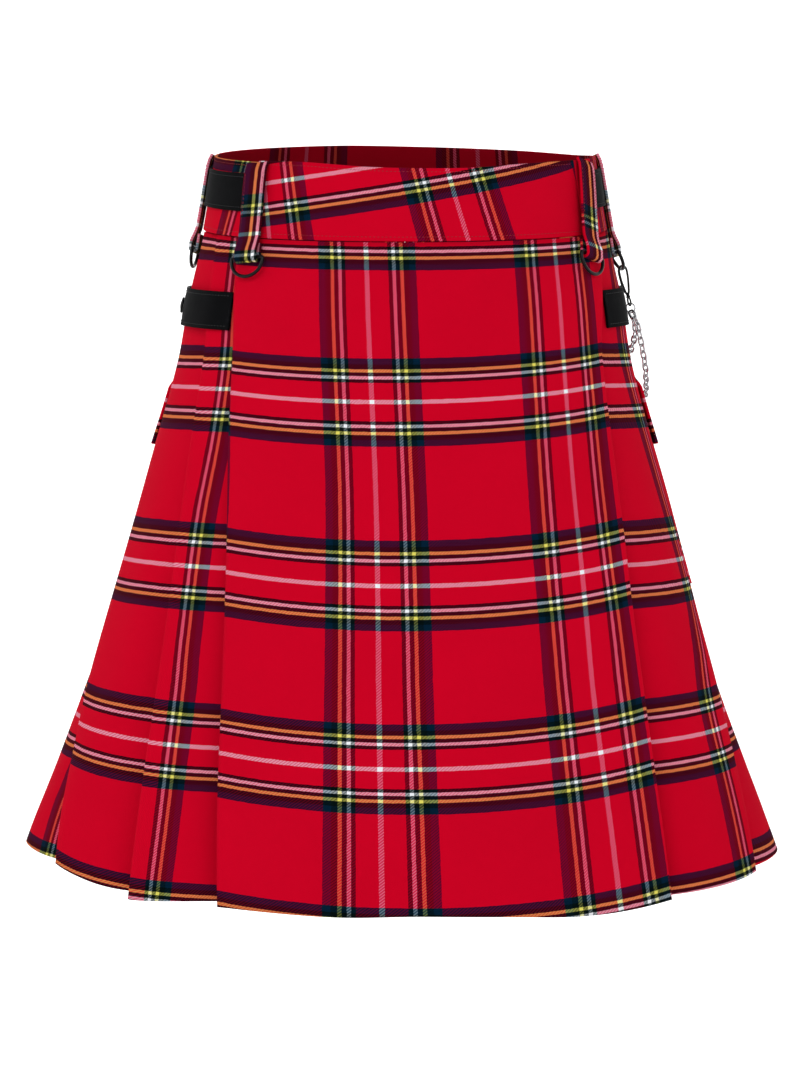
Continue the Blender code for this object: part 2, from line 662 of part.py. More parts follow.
def flap(side, name):
    """Two-layer flap sewn above the pocket and hanging over its mouth."""
    lead = (FLAP_WIDTH - POCKET_WIDTH) / 2
    base = POCKET_GAP + BAND_CLOTH / 2
    over = POCKET_GAP + POCKET_DEPTHS_LEFT[0] + CLOTH + GAP + BAND_CLOTH / 2
    fuller = POCKET_DEPTHS_LEFT[1] - POCKET_DEPTHS_LEFT[0]
    span = FLAP_TOP - FLAP_BOTTOM
    profile = ((0.0, base), (0.04, base + 0.0004), (0.11, over - 0.0010), (0.17, over + 0.0004),
               (0.6, over + 0.0004 + 0.6 * fuller), (1.0, over + 0.0006 + 1.2 * fuller))
    columns = []
    for k in range(9):
        across = -lead + FLAP_WIDTH * k / 8
        column = []
        for share, out in profile:
            height = FLAP_TOP - span * share
            column.append(surface(side_angle(side, across, height), height, out))
        columns.append(column)
    return sheet("flap_" + name, columns, BAND_CLOTH, "cloth")


# ---------------------------------------------------------------- wallet chain
def chain(name, first, knots, last):
    """One strand of the chain, from the side split ring to the back one."""
    places = [surface(math.radians(knot.angle), knot.height, knot.out) for knot in knots]
    route = smooth_route([first] + places + [last], CHAIN_STEP)
    tube(name, route, CHAIN_RADIUS, "steel", end_share=LINK_SHARE)


def smooth_route(places, spacing):
    """Evenly spaced points on the smooth curve through the places."""
    steps = 12
    fine = []
    for number in range(len(places) - 1):
        before = places[max(number - 1, 0)]
        start, end = places[number], places[number + 1]
        after = places[min(number + 2, len(places) - 1)]
        for k in range(steps):
            share = k / steps
            leave = (end - before) / 2
            arrive = (after - start) / 2
            share2, share3 = share ** 2, share ** 3
            fine.append(start * (2 * share3 - 3 * share2 + 1) + leave * (share3 - 2 * share2 + share)
                        + end * (3 * share2 - 2 * share3) + arrive * (share3 - share2))
    fine.append(places[-1])
    route = [fine[0]]
    for point in fine[1:-1]:
        if (point - route[-1]).length > spacing:
            route.append(point)
    if (fine[-1] - route[-1]).length < 0.5 * spacing:
        route.pop()
    route.append(fine[-1])
    return route


def start():
    """Empty the scene and make the collection that the parts go in."""
    for obj in list(bpy.data.objects):
        bpy.data.objects.remove(obj)
    collection = bpy.data.collections.new("kilt")
    bpy.context.scene.collection.children.link(collection)


def main():
    """Build every piece of the kilt."""
    start()
    chain_ends = {}
    cloth_panel("front_apron", apron_row)
    cloth_panel("under_apron", under_apron_row)
    cloth_panel("pleats_left", lambda row: pleat_row(LEFT_FOLDS, LEFT_PLEATS, row, False), -1)
    cloth_panel("pleats_right", lambda row: pleat_row(RIGHT_FOLDS, RIGHT_PLEATS, row, True), 1)
    band_panel("yoke_front", YOKE_LEFT, YOKE_RIGHT, 18)
    band_panel("waistband", YOKE_LEFT, YOKE_RIGHT - 360, 44)
    for loop in LOOPS:
        frame = LoopFrame(loop)
        belt_loop(loop, frame)
        if loop.name in HANGS:
            d_ring(loop, frame, math.radians(HANGS[loop.name].ring_tilt))
            chain_ends[loop.name] = snap_hook(frame, HANGS[loop.name])
        else:
            d_ring(loop, frame, math.radians(FREE_RING_TILT))
    for strap in UPPER_STRAPS:
        strap_panel(strap, upper_strap_height, upper_strap_out)
        stud(strap, upper_strap_height, STRAP_GAP + LEATHER + GAP)
    for strap in LOWER_STRAPS:
        strap_panel(strap, lower_strap_height, lower_strap_out)
        stud(strap, lower_strap_height, LOWER_STRAP_GAP + LEATHER + GAP)
    for side, name in ((-1, "left"), (1, "right")):
        pocket(side, name)
        flap(side, name)
    side_ends, back_ends = chain_ends["side_right"], chain_ends["back_right"]
    chain("chain_short", side_ends[0], SHORT_CHAIN, back_ends[1])
    chain("chain_long", side_ends[1], LONG_CHAIN, back_ends[0])


main()
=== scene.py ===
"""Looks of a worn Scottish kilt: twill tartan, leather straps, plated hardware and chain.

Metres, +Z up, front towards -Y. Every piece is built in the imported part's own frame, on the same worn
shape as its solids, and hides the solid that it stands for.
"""
from __future__ import annotations

import logging
import math
from dataclasses import dataclass, field
from enum import Enum
from typing import Callable, Iterable, Sequence

import bmesh
import bpy
import numpy as np
from mathutils import Matrix, Vector


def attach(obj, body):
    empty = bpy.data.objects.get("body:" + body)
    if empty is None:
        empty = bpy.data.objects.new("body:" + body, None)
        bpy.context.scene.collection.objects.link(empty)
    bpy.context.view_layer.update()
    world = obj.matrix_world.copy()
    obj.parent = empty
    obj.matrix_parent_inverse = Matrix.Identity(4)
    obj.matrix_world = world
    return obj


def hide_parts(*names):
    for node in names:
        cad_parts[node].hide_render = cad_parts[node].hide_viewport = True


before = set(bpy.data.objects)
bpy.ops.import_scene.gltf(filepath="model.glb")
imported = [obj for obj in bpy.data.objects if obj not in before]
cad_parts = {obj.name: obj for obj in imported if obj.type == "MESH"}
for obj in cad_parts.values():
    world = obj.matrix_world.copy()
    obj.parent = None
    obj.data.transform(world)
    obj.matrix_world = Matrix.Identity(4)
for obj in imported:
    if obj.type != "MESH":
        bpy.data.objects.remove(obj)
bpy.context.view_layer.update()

log = logging.getLogger("kilt")

Array = np.ndarray
Colour = tuple[float, float, float]
Pairs = Sequence[tuple[float, float]]
Line = list[Vector]
Mesh = bpy.types.Mesh
Piece = bpy.types.Object
Material = bpy.types.Material
Socket = bpy.types.NodeSocket

CLOTH = 0.0012                 # wall of one layer of cloth
BAND_CLOTH = 0.0024            # waistband, loops and flaps are two layers
LEATHER = 0.0022
GAP = 0.0004                   # clearance between pieces that are sewn together
SEAM_GAP = 0.0008              # the panels hang this far below the waistband
ON_TOP = 0.00005               # sewing lies this far above its cloth
REPEAT = 0.1505                # one repeat of the tartan on flat cloth


class Side(Enum):
    """Side of the kilt, seen from the front: its value is the sign of x."""

    LEFT = -1
    RIGHT = 1

    @property
    def word(self) -> str:
        """The side's word in the names of pieces."""
        return self.name.lower()


class Slot(Enum):
    """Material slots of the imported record."""

    CLOTH = "tartan_cloth"
    LEATHER = "black_leather"
    BLACK_METAL = "black_metal"
    STEEL = "bright_steel"


# ---------------------------------------------------------------- curves
def cubic(share: float | Array, start: Array | Vector, end: Array | Vector, start_slope: Array | Vector,
          end_slope: Array | Vector) -> Array | Vector:
    """Cubic between two numbers, arrays or vectors with a slope at each, at a share from 0 to 1.

    Args:
        share: from 0 at the start to 1 at the end.
        start: value at the start.
        end: value at the end.
        start_slope: slope there, by the share.
        end_slope: slope at the end, by the share.

    Returns:
        The value at the share.
    """
    share2, share3 = share ** 2, share ** 3
    return (start * (2 * share3 - 3 * share2 + 1) + start_slope * (share3 - 2 * share2 + share)
            + end * (3 * share2 - 2 * share3) + end_slope * (share3 - share2))


def through(places: Sequence[float], values: Sequence[float], at: Array) -> Array:
    """Smooth curve through values given at ascending places.

    Args:
        places: where the values are given, ascending.
        values: one value for each place.
        at: the places asked for.

    Returns:
        The curve's values, with the end slopes carried on outside the places.
    """
    x, y = np.asarray(places, float), np.asarray(values, float)
    at = np.asarray(at, float)
    slopes = np.empty_like(y)
    slopes[1:-1] = (y[2:] - y[:-2]) / (x[2:] - x[:-2])
    slopes[0] = (y[1] - y[0]) / (x[1] - x[0])
    slopes[-1] = (y[-1] - y[-2]) / (x[-1] - x[-2])
    index = np.clip(np.searchsorted(x, at, side="right") - 1, 0, len(x) - 2)
    step = x[index + 1] - x[index]
    return cubic((at - x[index]) / step, y[index], y[index + 1], step * slopes[index],
                 step * slopes[index + 1])


def smoothstep(share: Array) -> Array:
    """Ease from 0 to 1, level at both ends."""
    share = np.clip(share, 0.0, 1.0)
    return share * share * (3 - 2 * share)


def oval(middle: Vector, wide: Vector, tall: Vector, count: int) -> Line:
    """Points round an oval with the given half axes."""
    turns = [math.tau * k / count for k in range(count)]
    return [middle + wide * math.cos(turn) + tall * math.sin(turn) for turn in turns]


def rounded(points: Sequence[Vector], times: int, closed: bool) -> Line:
    """Line of points smoothed by rounds of corner cutting; a closed one joins its own start.

    Args:
        points: points of the line.
        times: rounds of cutting.
        closed: whether the line joins its own start.

    Returns:
        The smoother line.
    """
    line = list(points)
    for _ in range(times):
        pairs = list(zip(line, line[1:])) + ([(line[-1], line[0])] if closed else [])
        cut = [start.lerp(end, share) for start, end in pairs for share in (0.25, 0.75)]
        line = cut if closed else [line[0]] + cut[1:-1] + [line[-1]]
    return line


@dataclass
class Route:
    """Line of points, measured along its length."""

    points: Line
    lengths: Array = field(init=False)

    def __post_init__(self) -> None:
        """Measure the line."""
        steps = [(end - start).length for start, end in zip(self.points, self.points[1:])]
        self.lengths = np.concatenate([[0.0], np.cumsum(steps)])

    def at(self, travelled: float) -> tuple[int, Vector]:
        """Number of the stretch at a distance along the line, and the point there."""
        index = int(np.clip(np.searchsorted(self.lengths, travelled) - 1, 0, len(self.points) - 2))
        share = (travelled - self.lengths[index]) / (self.lengths[index + 1] - self.lengths[index])
        return index, self.points[index].lerp(self.points[index + 1], share)


# ---------------------------------------------------------------- the worn shape
@dataclass(frozen=True)
class WornShape:
    """The shape that the kilt takes when worn: level rings, wider below, with a tilted waist."""

    # height, half width, depth in front and depth behind of each ring
    rings: tuple[tuple[float, float, float, float], ...] = (
        (-0.620, 0.3450, 0.2140, 0.2230), (-0.558, 0.3221, 0.1990, 0.2150),
        (-0.454, 0.2846, 0.1790, 0.2030), (-0.351, 0.2520, 0.1680, 0.1920),
        (-0.213, 0.2135, 0.1535, 0.1760), (-0.144, 0.1953, 0.1450, 0.1660),
        (-0.092, 0.1868, 0.1385, 0.1560), (-0.040, 0.1755, 0.1310, 0.1420),
        (0.032, 0.1640, 0.1215, 0.1240), (0.070, 0.1590, 0.1180, 0.1180))
    band: float = 0.0637           # height of the waistband
    band_top: float = 0.0333       # its top edge at the sides
    seam: float = -0.0320          # height of the waist seam at the sides, rounded
    tilt: float = 0.0215           # rise of the waist from the front to the sides
    apron_length: float = 0.5549
    drop_angles: tuple[float, ...] = (-180, -90, -75, -65, -48, -20, 0, 20, 43, 60, 90, 180)
    drops: tuple[float, ...] = (0.0, 0.0095, 0.0105, 0.0115, 0.0068, 0.0034, 0.0008, 0.0036, 0.0113, 0.0140,
                                0.0150, 0.0)
    hem_sway: float = -0.0045
    sway_from: float = 0.10
    sway_over: float = 0.50
    wave: float = 0.0010           # height of the hanging cloth's soft waves

    def ring(self, angle: Array, height: Array) -> tuple[Array, Array]:
        """Half width of the ring at each height, and its depth on each angle's side."""
        heights, *sizes = zip(*self.rings)
        half_width, front, back = (through(heights, size, height) for size in sizes)
        return half_width, np.where(np.cos(angle) > 0, front, back)

    def sway(self, height: Array) -> Array:
        """Sideways shift of the shape, more towards the hem."""
        return self.hem_sway * np.clip((-height - self.sway_from) / self.sway_over, 0.0, 1.0)

    def point(self, angle: Array, height: Array, out: Array | float = 0.0) -> Array:
        """Points on the worn shape, moved out along the ring's level normal.

        Args:
            angle: radians round the body from the front centre, left negative.
            height: z of each point.
            out: distance outside the shape.

        Returns:
            Array of points, its last axis x, y, z.
        """
        angle, height = np.broadcast_arrays(np.asarray(angle, float), np.asarray(height, float))
        half_width, depth = self.ring(angle, height)
        out = out + self.ripple(angle, height)
        normal_x, normal_y = depth * np.sin(angle), -half_width * np.cos(angle)
        size = np.hypot(normal_x, normal_y)
        x = half_width * np.sin(angle) + self.sway(height) + normal_x / size * out
        y = -depth * np.cos(angle) + normal_y / size * out
        return np.stack([x, y, height], axis=-1)

    def at(self, angle: float, height: float, out: float = 0.0) -> Vector:
        """One point on the worn shape."""
        return Vector(self.point(np.array(angle), np.array(height), out))

    def ripple(self, angle: Array, height: Array) -> Array:
        """Soft waves of the hanging cloth, the same in every layer and none at the waist.

        Args:
            angle: radians round the body from the front centre.
            height: z of each point.

        Returns:
            Distances outwards.
        """
        round_body = 0.26 * angle
        narrow = np.sin(round_body * math.tau / 0.078 + 1.2 * np.sin(height * math.tau / 0.33))
        wide = np.sin(round_body * math.tau / 0.171 + 2.1 + 7.0 * height)
        return self.wave * smoothstep((-height - 0.15) / 0.22) * (0.5 * narrow + 0.5 * wide)

    def turn_for(self, length: float, angle: Array, height: Array) -> Array:
        """Angle that a length takes along the ring."""
        half_width, depth = self.ring(angle, height)
        return length / np.hypot(half_width * np.cos(angle), depth * np.sin(angle))

    def turn(self, length: float, angle: float, height: float) -> float:
        """Angle that a length takes at one place."""
        return float(self.turn_for(length, np.array(angle), np.array(height)))

    def arc(self, angle: Array, height: Array) -> Array:
        """Distance round the shape from the front centre, signed as the angle.

        Args:
            angle: radians round the body from the front centre.
            height: z of the ring.

        Returns:
            Lengths along the ring.
        """
        steps = 48
        shares = (np.arange(steps) + 0.5) / steps
        angle, height = np.broadcast_arrays(angle, height)
        turn = angle[..., None] * shares
        half_width, depth = self.ring(turn, np.repeat(height[..., None], steps, axis=-1))
        return np.hypot(half_width * np.cos(turn), depth * np.sin(turn)).mean(axis=-1) * angle

    def band_height(self, angle: Array, share: float) -> Array:
        """Height on the waistband: share 0 is its top edge, 1 the waist seam."""
        return self.band_top - self.band * share - self.tilt * np.cos(angle)

    def longer(self, angle: Array) -> Array:
        """Length of the cloth at an angle, as a share of its length at the front."""
        return 1 + through(self.drop_angles, self.drops, np.degrees(angle)) / self.apron_length

    def angle_of(self, points: Array) -> Array:
        """Angle round the body of points on the shape."""
        half_width, depth = self.ring(np.where(points[..., 1] < 0, 0.0, math.pi), points[..., 2])
        return np.arctan2((points[..., 0] - self.sway(points[..., 2])) / half_width,
                          -points[..., 1] / depth)

    def hang(self, angles: Array, rows: Array) -> Array:
        """Heights of lines of cloth that keep their length while the shape flares.

        Args:
            angles: angle of each line at each row, shape (rows, lines).
            rows: cloth distance of each row below the waist seam.

        Returns:
            Heights, shape (rows, lines).
        """
        heights = np.empty_like(angles)
        heights[0] = self.band_height(angles[0], 1.0) - SEAM_GAP
        for row in range(1, len(rows)):
            step = (rows[row] - rows[row - 1]) * self.longer(angles[0])
            above = self.point(angles[row - 1], heights[row - 1])[..., :2]
            height = heights[row - 1] - step
            for _ in range(5):
                run = np.linalg.norm(self.point(angles[row], height)[..., :2] - above, axis=-1)
                height = heights[row - 1] - np.sqrt(np.maximum(step ** 2 - run ** 2, 0.5 * step ** 2))
            heights[row] = height
        return heights


WORN = WornShape()


# ---------------------------------------------------------------- meshes and pieces
def new_mesh(name: str, bm: bmesh.types.BMesh, outward: bool = True) -> Mesh:
    """Mesh of a finished bmesh, its faces turned outwards if asked.

    Args:
        name: name of the new mesh.
        bm: the bmesh, which is freed.
        outward: whether the faces are turned.

    Returns:
        The mesh.
    """
    if outward:
        bmesh.ops.recalc_face_normals(bm, faces=bm.faces)
    mesh = bpy.data.meshes.new(name)
    bm.to_mesh(mesh)
    bm.free()
    return mesh


def welded(mesh: Mesh) -> bmesh.types.BMesh:
    """Copy of a mesh whose doubled points are merged.

    Args:
        mesh: the mesh, which is removed.

    Returns:
        The bmesh.
    """
    bm = bmesh.new()
    bm.from_mesh(mesh)
    bpy.data.meshes.remove(mesh)
    bmesh.ops.remove_doubles(bm, verts=bm.verts, dist=0.00001)
    return bm


def join_meshes(name: str, meshes: Iterable[Mesh]) -> Mesh:
    """One mesh of several closed ones, which are removed.

    Args:
        name: name of the new mesh.
        meshes: the closed meshes.

    Returns:
        The mesh of them all.
    """
    bm = bmesh.new()
    for mesh in meshes:
        bm.from_mesh(mesh)
        bpy.data.meshes.remove(mesh)
    return new_mesh(name, bm, outward=False)


def tube_mesh(name: str, points: Sequence[Vector], radius: float, closed: bool, sides: int = 12) -> Mesh:
    """Round wire through points, its caps welded.

    Args:
        name: name of the new mesh.
        points: centre line.
        radius: radius of the wire.
        closed: whether the wire joins its own start.
        sides: faces round the wire, a multiple of four.

    Returns:
        The closed mesh.
    """
    curve = bpy.data.curves.new(name, "CURVE")
    curve.dimensions = "3D"
    curve.bevel_depth = radius
    curve.bevel_resolution = sides // 2 - 2
    curve.use_fill_caps = not closed
    spline = curve.splines.new("POLY")
    spline.points.add(len(points) - 1)
    for spot, point in zip(spline.points, points):
        spot.co = (*point, 1.0)
    spline.use_cyclic_u = closed
    guide = bpy.data.objects.new(name + ".guide", curve)
    bpy.context.scene.collection.objects.link(guide)
    bpy.context.view_layer.update()
    mesh = bpy.data.meshes.new_from_object(guide.evaluated_get(bpy.context.evaluated_depsgraph_get()))
    bpy.data.objects.remove(guide)
    bpy.data.curves.remove(curve)
    return new_mesh(name, welded(mesh))


def spun(name: str, profile: Pairs, axis: Vector, foot: Vector, steps: int,
         merge: float = 0.000001) -> Mesh:
    """Round shape spun from its profile.

    Args:
        name: name of the new mesh.
        profile: distance along the axis and radius, from end to end.
        axis: direction of the axis.
        foot: point at distance 0.
        steps: faces round the shape.
        merge: points this close are one.

    Returns:
        The mesh, closed where the profile ends on the axis.
    """
    bm = bmesh.new()
    verts = [bm.verts.new((radius, 0.0, along)) for along, radius in profile]
    edges = [bm.edges.new(pair) for pair in zip(verts, verts[1:])]
    bmesh.ops.spin(bm, geom=verts + edges, axis=(0, 0, 1), cent=(0, 0, 0), angle=math.tau, steps=steps,
                   use_merge=True)
    bmesh.ops.remove_doubles(bm, verts=bm.verts, dist=merge)
    turn = Vector((0, 0, 1)).rotation_difference(axis).to_matrix().to_4x4()
    bmesh.ops.transform(bm, matrix=Matrix.Translation(foot) @ turn, verts=bm.verts)
    return new_mesh(name, bm)


@dataclass
class ClothGrid:
    """Rows and columns of points with the tartan's place at each, before they are a mesh."""

    points: Array
    weave: Array

    def mesh(self, name: str) -> Mesh:
        """Open mesh of the grid, its UV map holding the tartan's repeats across and down.

        Args:
            name: name of the new mesh.

        Returns:
            The mesh.
        """
        rows, columns = self.points.shape[:2]
        bm = bmesh.new()
        bmesh.ops.create_grid(bm, x_segments=columns - 1, y_segments=rows - 1, size=1)
        for vert, place in zip(bm.verts, self.points.reshape(-1, 3)):
            vert.co = place
        mesh = new_mesh(name, bm, outward=False)
        layer = mesh.uv_layers.new(name="weave")
        corner = np.empty(len(mesh.loops), np.int32)
        mesh.loops.foreach_get("vertex_index", corner)
        layer.data.foreach_set("uv", self.weave.reshape(-1, 2)[corner].astype(np.float32).ravel())
        return mesh


def lengthwise(points: Array) -> Array:
    """Distance along each row of a grid, from its first column."""
    steps = np.linalg.norm(np.diff(points, axis=1), axis=-1)
    return np.concatenate([np.zeros((len(points), 1)), np.cumsum(steps, axis=1)], axis=1)


def cut_of(points: Array) -> dict[str, object]:
    """Flat size, rounded up to a millimetre, and area of the cut cloth under a grid of points.

    Args:
        points: rows and columns of points.
    """
    sizes = [lengthwise(grid)[:, -1].max() for grid in (points, points.transpose(1, 0, 2))]
    across = np.diff(points, axis=1)[:-1]
    down = np.diff(points, axis=0)[:, :-1]
    area = float(np.linalg.norm(np.cross(across, down), axis=-1).sum())
    return {"flat": tuple(math.ceil(size * 1000) / 1000 for size in sizes), "area": round(area, 4)}


def finish_piece(name: str, mesh: Mesh, material: Material, body: str = "kilt",
                 replaces: Iterable[str] = (), sharp: float = 40.0) -> Piece:
    """Object of a finished mesh, riding on its body.

    Args:
        name: the piece's name.
        mesh: its mesh, in place.
        material: its finish.
        body: the body that it moves with.
        replaces: solids that it stands for.
        sharp: edges steeper than this many degrees stay sharp.

    Returns:
        The new object.
    """
    mesh.materials.clear()
    mesh.materials.append(material)
    mesh.shade_smooth()
    mesh.set_sharp_from_angle(angle=math.radians(sharp))
    piece = bpy.data.objects.new(name, mesh)
    bpy.context.scene.collection.objects.link(piece)
    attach(piece, body)
    if replaces:
        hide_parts(*replaces)
    log.info("%s: %d faces", name, len(mesh.polygons))
    return piece


def give_wall(piece: Piece, thickness: float, roll: float = 0.0) -> None:
    """Live wall, half on each side of a piece's surface, its edges rolled by a width if asked.

    Args:
        piece: the piece with an open surface.
        thickness: of the wall.
        roll: width of the rolled edges.
    """
    wall = piece.modifiers.new("wall", "SOLIDIFY")
    wall.thickness = thickness
    wall.offset = 0.0
    wall.use_even_offset = True
    wall.use_rim = True
    if roll:
        bevel = piece.modifiers.new("rolled_edge", "BEVEL")
        bevel.width = roll
        bevel.segments = 2
        bevel.limit_method = "ANGLE"
        bevel.angle_limit = math.radians(50)


def cloth_piece(name: str, mesh: Mesh, node: str, thickness: float = CLOTH, roll: float = 0.0,
                **cut: object) -> Piece:
    """Sheet of tartan cloth.

    Args:
        name: the piece's name.
        mesh: its surface, in place.
        node: the solid that it stands for.
        thickness: of its wall.
        roll: width of its rolled edges.
        cut: the sheet's cut and hold, which are not used.

    Returns:
        The new object.
    """
    piece = finish_piece(name, mesh, FINISHES.cloth, replaces=[node])
    give_wall(piece, thickness, roll)
    return piece


# ---------------------------------------------------------------- finishes
class Graph:
    """Adds and links the nodes of one shader or group."""

    def __init__(self, tree: bpy.types.NodeTree) -> None:
        """Start with an empty tree."""
        self.tree = tree
        tree.nodes.clear()

    def add(self, kind: str, settings: dict | None = None, **inputs: object) -> bpy.types.Node:
        """New node, its settings and inputs set; a socket given as an input is linked.

        Args:
            kind: the node's type, without the word ShaderNode.
            settings: attributes of the node.
            inputs: values or sockets by input name, with _ for a space, or by input number as i0.

        Returns:
            The node.
        """
        node = self.tree.nodes.new(kind if kind.startswith("Node") else "ShaderNode" + kind)
        for key, value in (settings or {}).items():
            setattr(node, key, value)
        for key, value in inputs.items():
            numbered = key[0] == "i" and key[1:].isdigit()
            socket = node.inputs[int(key[1:]) if numbered else key.replace("_", " ")]
            if isinstance(value, Socket):
                self.tree.links.new(value, socket)
            else:
                socket.default_value = value
        return node

    def math(self, operation: str, *terms: object) -> Socket:
        """Result of a Math node on values or sockets."""
        inputs = {f"i{number}": term for number, term in enumerate(terms)}
        return self.add("Math", {"operation": operation}, **inputs).outputs[0]

    def times(self, first: object, second: object) -> Socket:
        """Product of two values."""
        return self.math("MULTIPLY", first, second)

    def plus(self, first: object, second: object) -> Socket:
        """Sum of two values."""
        return self.math("ADD", first, second)

    def less(self, first: object, second: object) -> Socket:
        """First value without the second."""
        return self.math("SUBTRACT", first, second)

    def mix(self, share: object, first: object, second: object, blend: str = "MIX") -> Socket:
        """Colour mixed from two."""
        node = self.add("Mix", {"data_type": "RGBA", "blend_type": blend}, i0=share, i6=first, i7=second)
        return node.outputs[2]

    def ease(self, value: object, low: object, high: object) -> Socket:
        """Smooth step of a value from 0 at low to 1 at high."""
        return self.add("MapRange", {"interpolation_type": "SMOOTHSTEP"}, Value=value, From_Min=low,
                        From_Max=high).outputs[0]

    def noise(self, vector: object, scale: object, detail: float, rough: float = 0.5) -> Socket:
        """Noise value over a vector."""
        return self.add("TexNoise", Vector=vector, Scale=scale, Detail=detail, Roughness=rough).outputs[0]

    def uneven(self, vector: object, scale: float, detail: float, amount: object,
               rough: float = 0.5) -> Socket:
        """Noise about zero with an amount."""
        return self.times(self.less(self.noise(vector, scale, detail, rough), 0.5), amount)

    def group(self, name: str, **inputs: object) -> bpy.types.Node:
        """Node of a shared group."""
        return self.add("Group", {"node_tree": bpy.data.node_groups[name]}, **inputs)

    def stripes(self, value: object, stops: Sequence[tuple[float, tuple]]) -> Socket:
        """Colours that change at once at each stop.

        Args:
            value: place across the stripes.
            stops: start and colour of each stripe, ascending.

        Returns:
            The colour.
        """
        node = self.add("ValToRGB", i0=value)
        ramp = node.color_ramp
        ramp.interpolation = "CONSTANT"
        ramp.elements.remove(ramp.elements[-1])
        ramp.elements[0].position = stops[0][0]
        ramp.elements[0].color = (*stops[0][1], 1.0)
        for place, colour in stops[1:]:
            ramp.elements.new(place).color = (*colour, 1.0)
        return node.outputs[0]


def display(red: int, green: int, blue: int) -> Colour:
    """Colour of a thread as it looks on a screen, each part from 0 to 1."""
    return red / 255, green / 255, blue / 255


def new_group(name: str, values: dict[str, float],
              **results: str) -> tuple[Graph, Sequence[Socket], Callable]:
    """Empty shader group with value inputs and named outputs.

    Args:
        name: the group's name.
        values: its inputs and their defaults.
        results: its outputs and their kinds, as Color or Float.

    Returns:
        Its graph, the sockets of its inputs, and a function that links its outputs by name.
    """
    tree = bpy.data.node_groups.new(name, "ShaderNodeTree")
    for label, default in values.items():
        socket = tree.interface.new_socket(label, in_out="INPUT", socket_type="NodeSocketFloat")
        socket.default_value = default
    for label, kind in results.items():
        tree.interface.new_socket(label, in_out="OUTPUT", socket_type="NodeSocket" + kind)
    graph = Graph(tree)
    given = graph.add("NodeGroupInput").outputs[:len(values)]
    return graph, given, lambda **sockets: graph.add("NodeGroupOutput", **sockets)


@dataclass(frozen=True)
class Sett:
    """The tartan's stripes, by distance from the middle line as a share of the repeat."""

    red: Colour = display(207, 0, 40)
    navy: Colour = display(4, 35, 54)
    black: Colour = display(8, 22, 22)
    yellow: Colour = display(232, 222, 100)
    white: Colour = display(248, 250, 255)

    def group(self) -> None:
        """Thread colour at a place across the repeats."""
        stripes = [(0.0, self.white), (0.0100, self.red), (0.106, self.black), (0.1260, self.white),
                   (0.1445, self.black), (0.1645, self.yellow), (0.1835, self.black), (0.210, self.navy),
                   (0.246, self.red)]
        graph, (place,), finish = new_group("sett", {"Place": 0.0}, Color="Color")
        distance = graph.times(graph.math("PINGPONG", place, 0.5), 2.0)
        finish(Color=graph.stripes(distance, [(2 * start, colour) for start, colour in stripes]))


def weave_group() -> None:
    """Twill weave of the sett both ways: its colour and the height of its threads."""
    values = {"Weft Cover": 0.65, "Twill": 0.35, "Ribs": 62.0, "Fuzz": 0.10, "Fading": 0.05}
    graph, (cover, twill, ribs, fuzz, fading), finish = new_group("twill_tartan", values, Color="Color",
                                                                  Height="Float")
    place = graph.add("UVMap", {"uv_map": "weave"}).outputs[0]
    waver = graph.uneven(place, 30.0, 3.0, 0.006)
    across, down, _ = graph.add("SeparateXYZ", Vector=place).outputs
    warp = graph.group("sett", Place=graph.plus(across, waver)).outputs[0]
    weft = graph.group("sett", Place=graph.less(down, waver)).outputs[0]
    slant = graph.times(graph.plus(across, down), ribs)
    wave = graph.times(graph.math("PINGPONG", slant, 0.5), 2.0)
    bare = graph.less(1.0, cover)
    weft_up = graph.ease(wave, graph.less(bare, 0.22), graph.plus(bare, 0.22))
    weft_share = graph.math("MULTIPLY_ADD", graph.less(weft_up, cover), twill, cover)
    cloth = graph.mix(0.2, graph.mix(weft_share, warp, weft), graph.mix(1.0, warp, weft, "DARKEN"))
    threads = []
    for value in (across, down):
        turns = graph.times(graph.times(value, ribs), 4 * math.tau)
        threads.append(graph.plus(graph.times(graph.math("COSINE", turns), 0.5), 0.5))
    height = graph.plus(graph.times(threads[0], graph.less(1.0, weft_up)), graph.times(threads[1], weft_up))
    spread = graph.plus(graph.uneven(place, 420.0, 4.0, fuzz, 0.7), graph.uneven(place, 2.3, 3.0, fading))
    # raised threads are painted lighter, a painted highlight on the weave's crests; the fuzz and fading
    # noise add random tone
    crest_light_and_tone = graph.plus(graph.plus(0.94, graph.times(height, 0.10)), spread)
    linear = graph.add("Gamma", Color=graph.mix(1.0, cloth, crest_light_and_tone, "MULTIPLY"), Gamma=2.2)
    finish(Color=linear.outputs[0], Height=height)


def wear_group() -> None:
    """Scuffs and rubbed patches over a hard surface, as a mask from 0 to 1."""
    graph, (scale, amount), finish = new_group("wear", {"Scale": 120.0, "Amount": 0.4}, Mask="Float")
    patches = graph.noise(graph.add("TexCoord").outputs["Object"], scale, 5.0, 0.65)
    low = graph.less(1.0, amount)
    finish(Mask=graph.ease(patches, low, graph.plus(low, 0.25)))


def surface(name: str, looks: Callable[[Graph, Socket], dict[str, object]]) -> Material:
    """Material of one Principled BSDF.

    Args:
        name: the material's name.
        looks: gives the shader's inputs from the material's graph and its Object coordinates.

    Returns:
        The material.
    """
    material = bpy.data.materials.new(name)
    material.use_nodes = True
    graph = Graph(material.node_tree)
    shader = graph.add("BsdfPrincipled", **looks(graph, graph.add("TexCoord").outputs["Object"]))
    graph.add("OutputMaterial", Surface=shader.outputs[0])
    return material


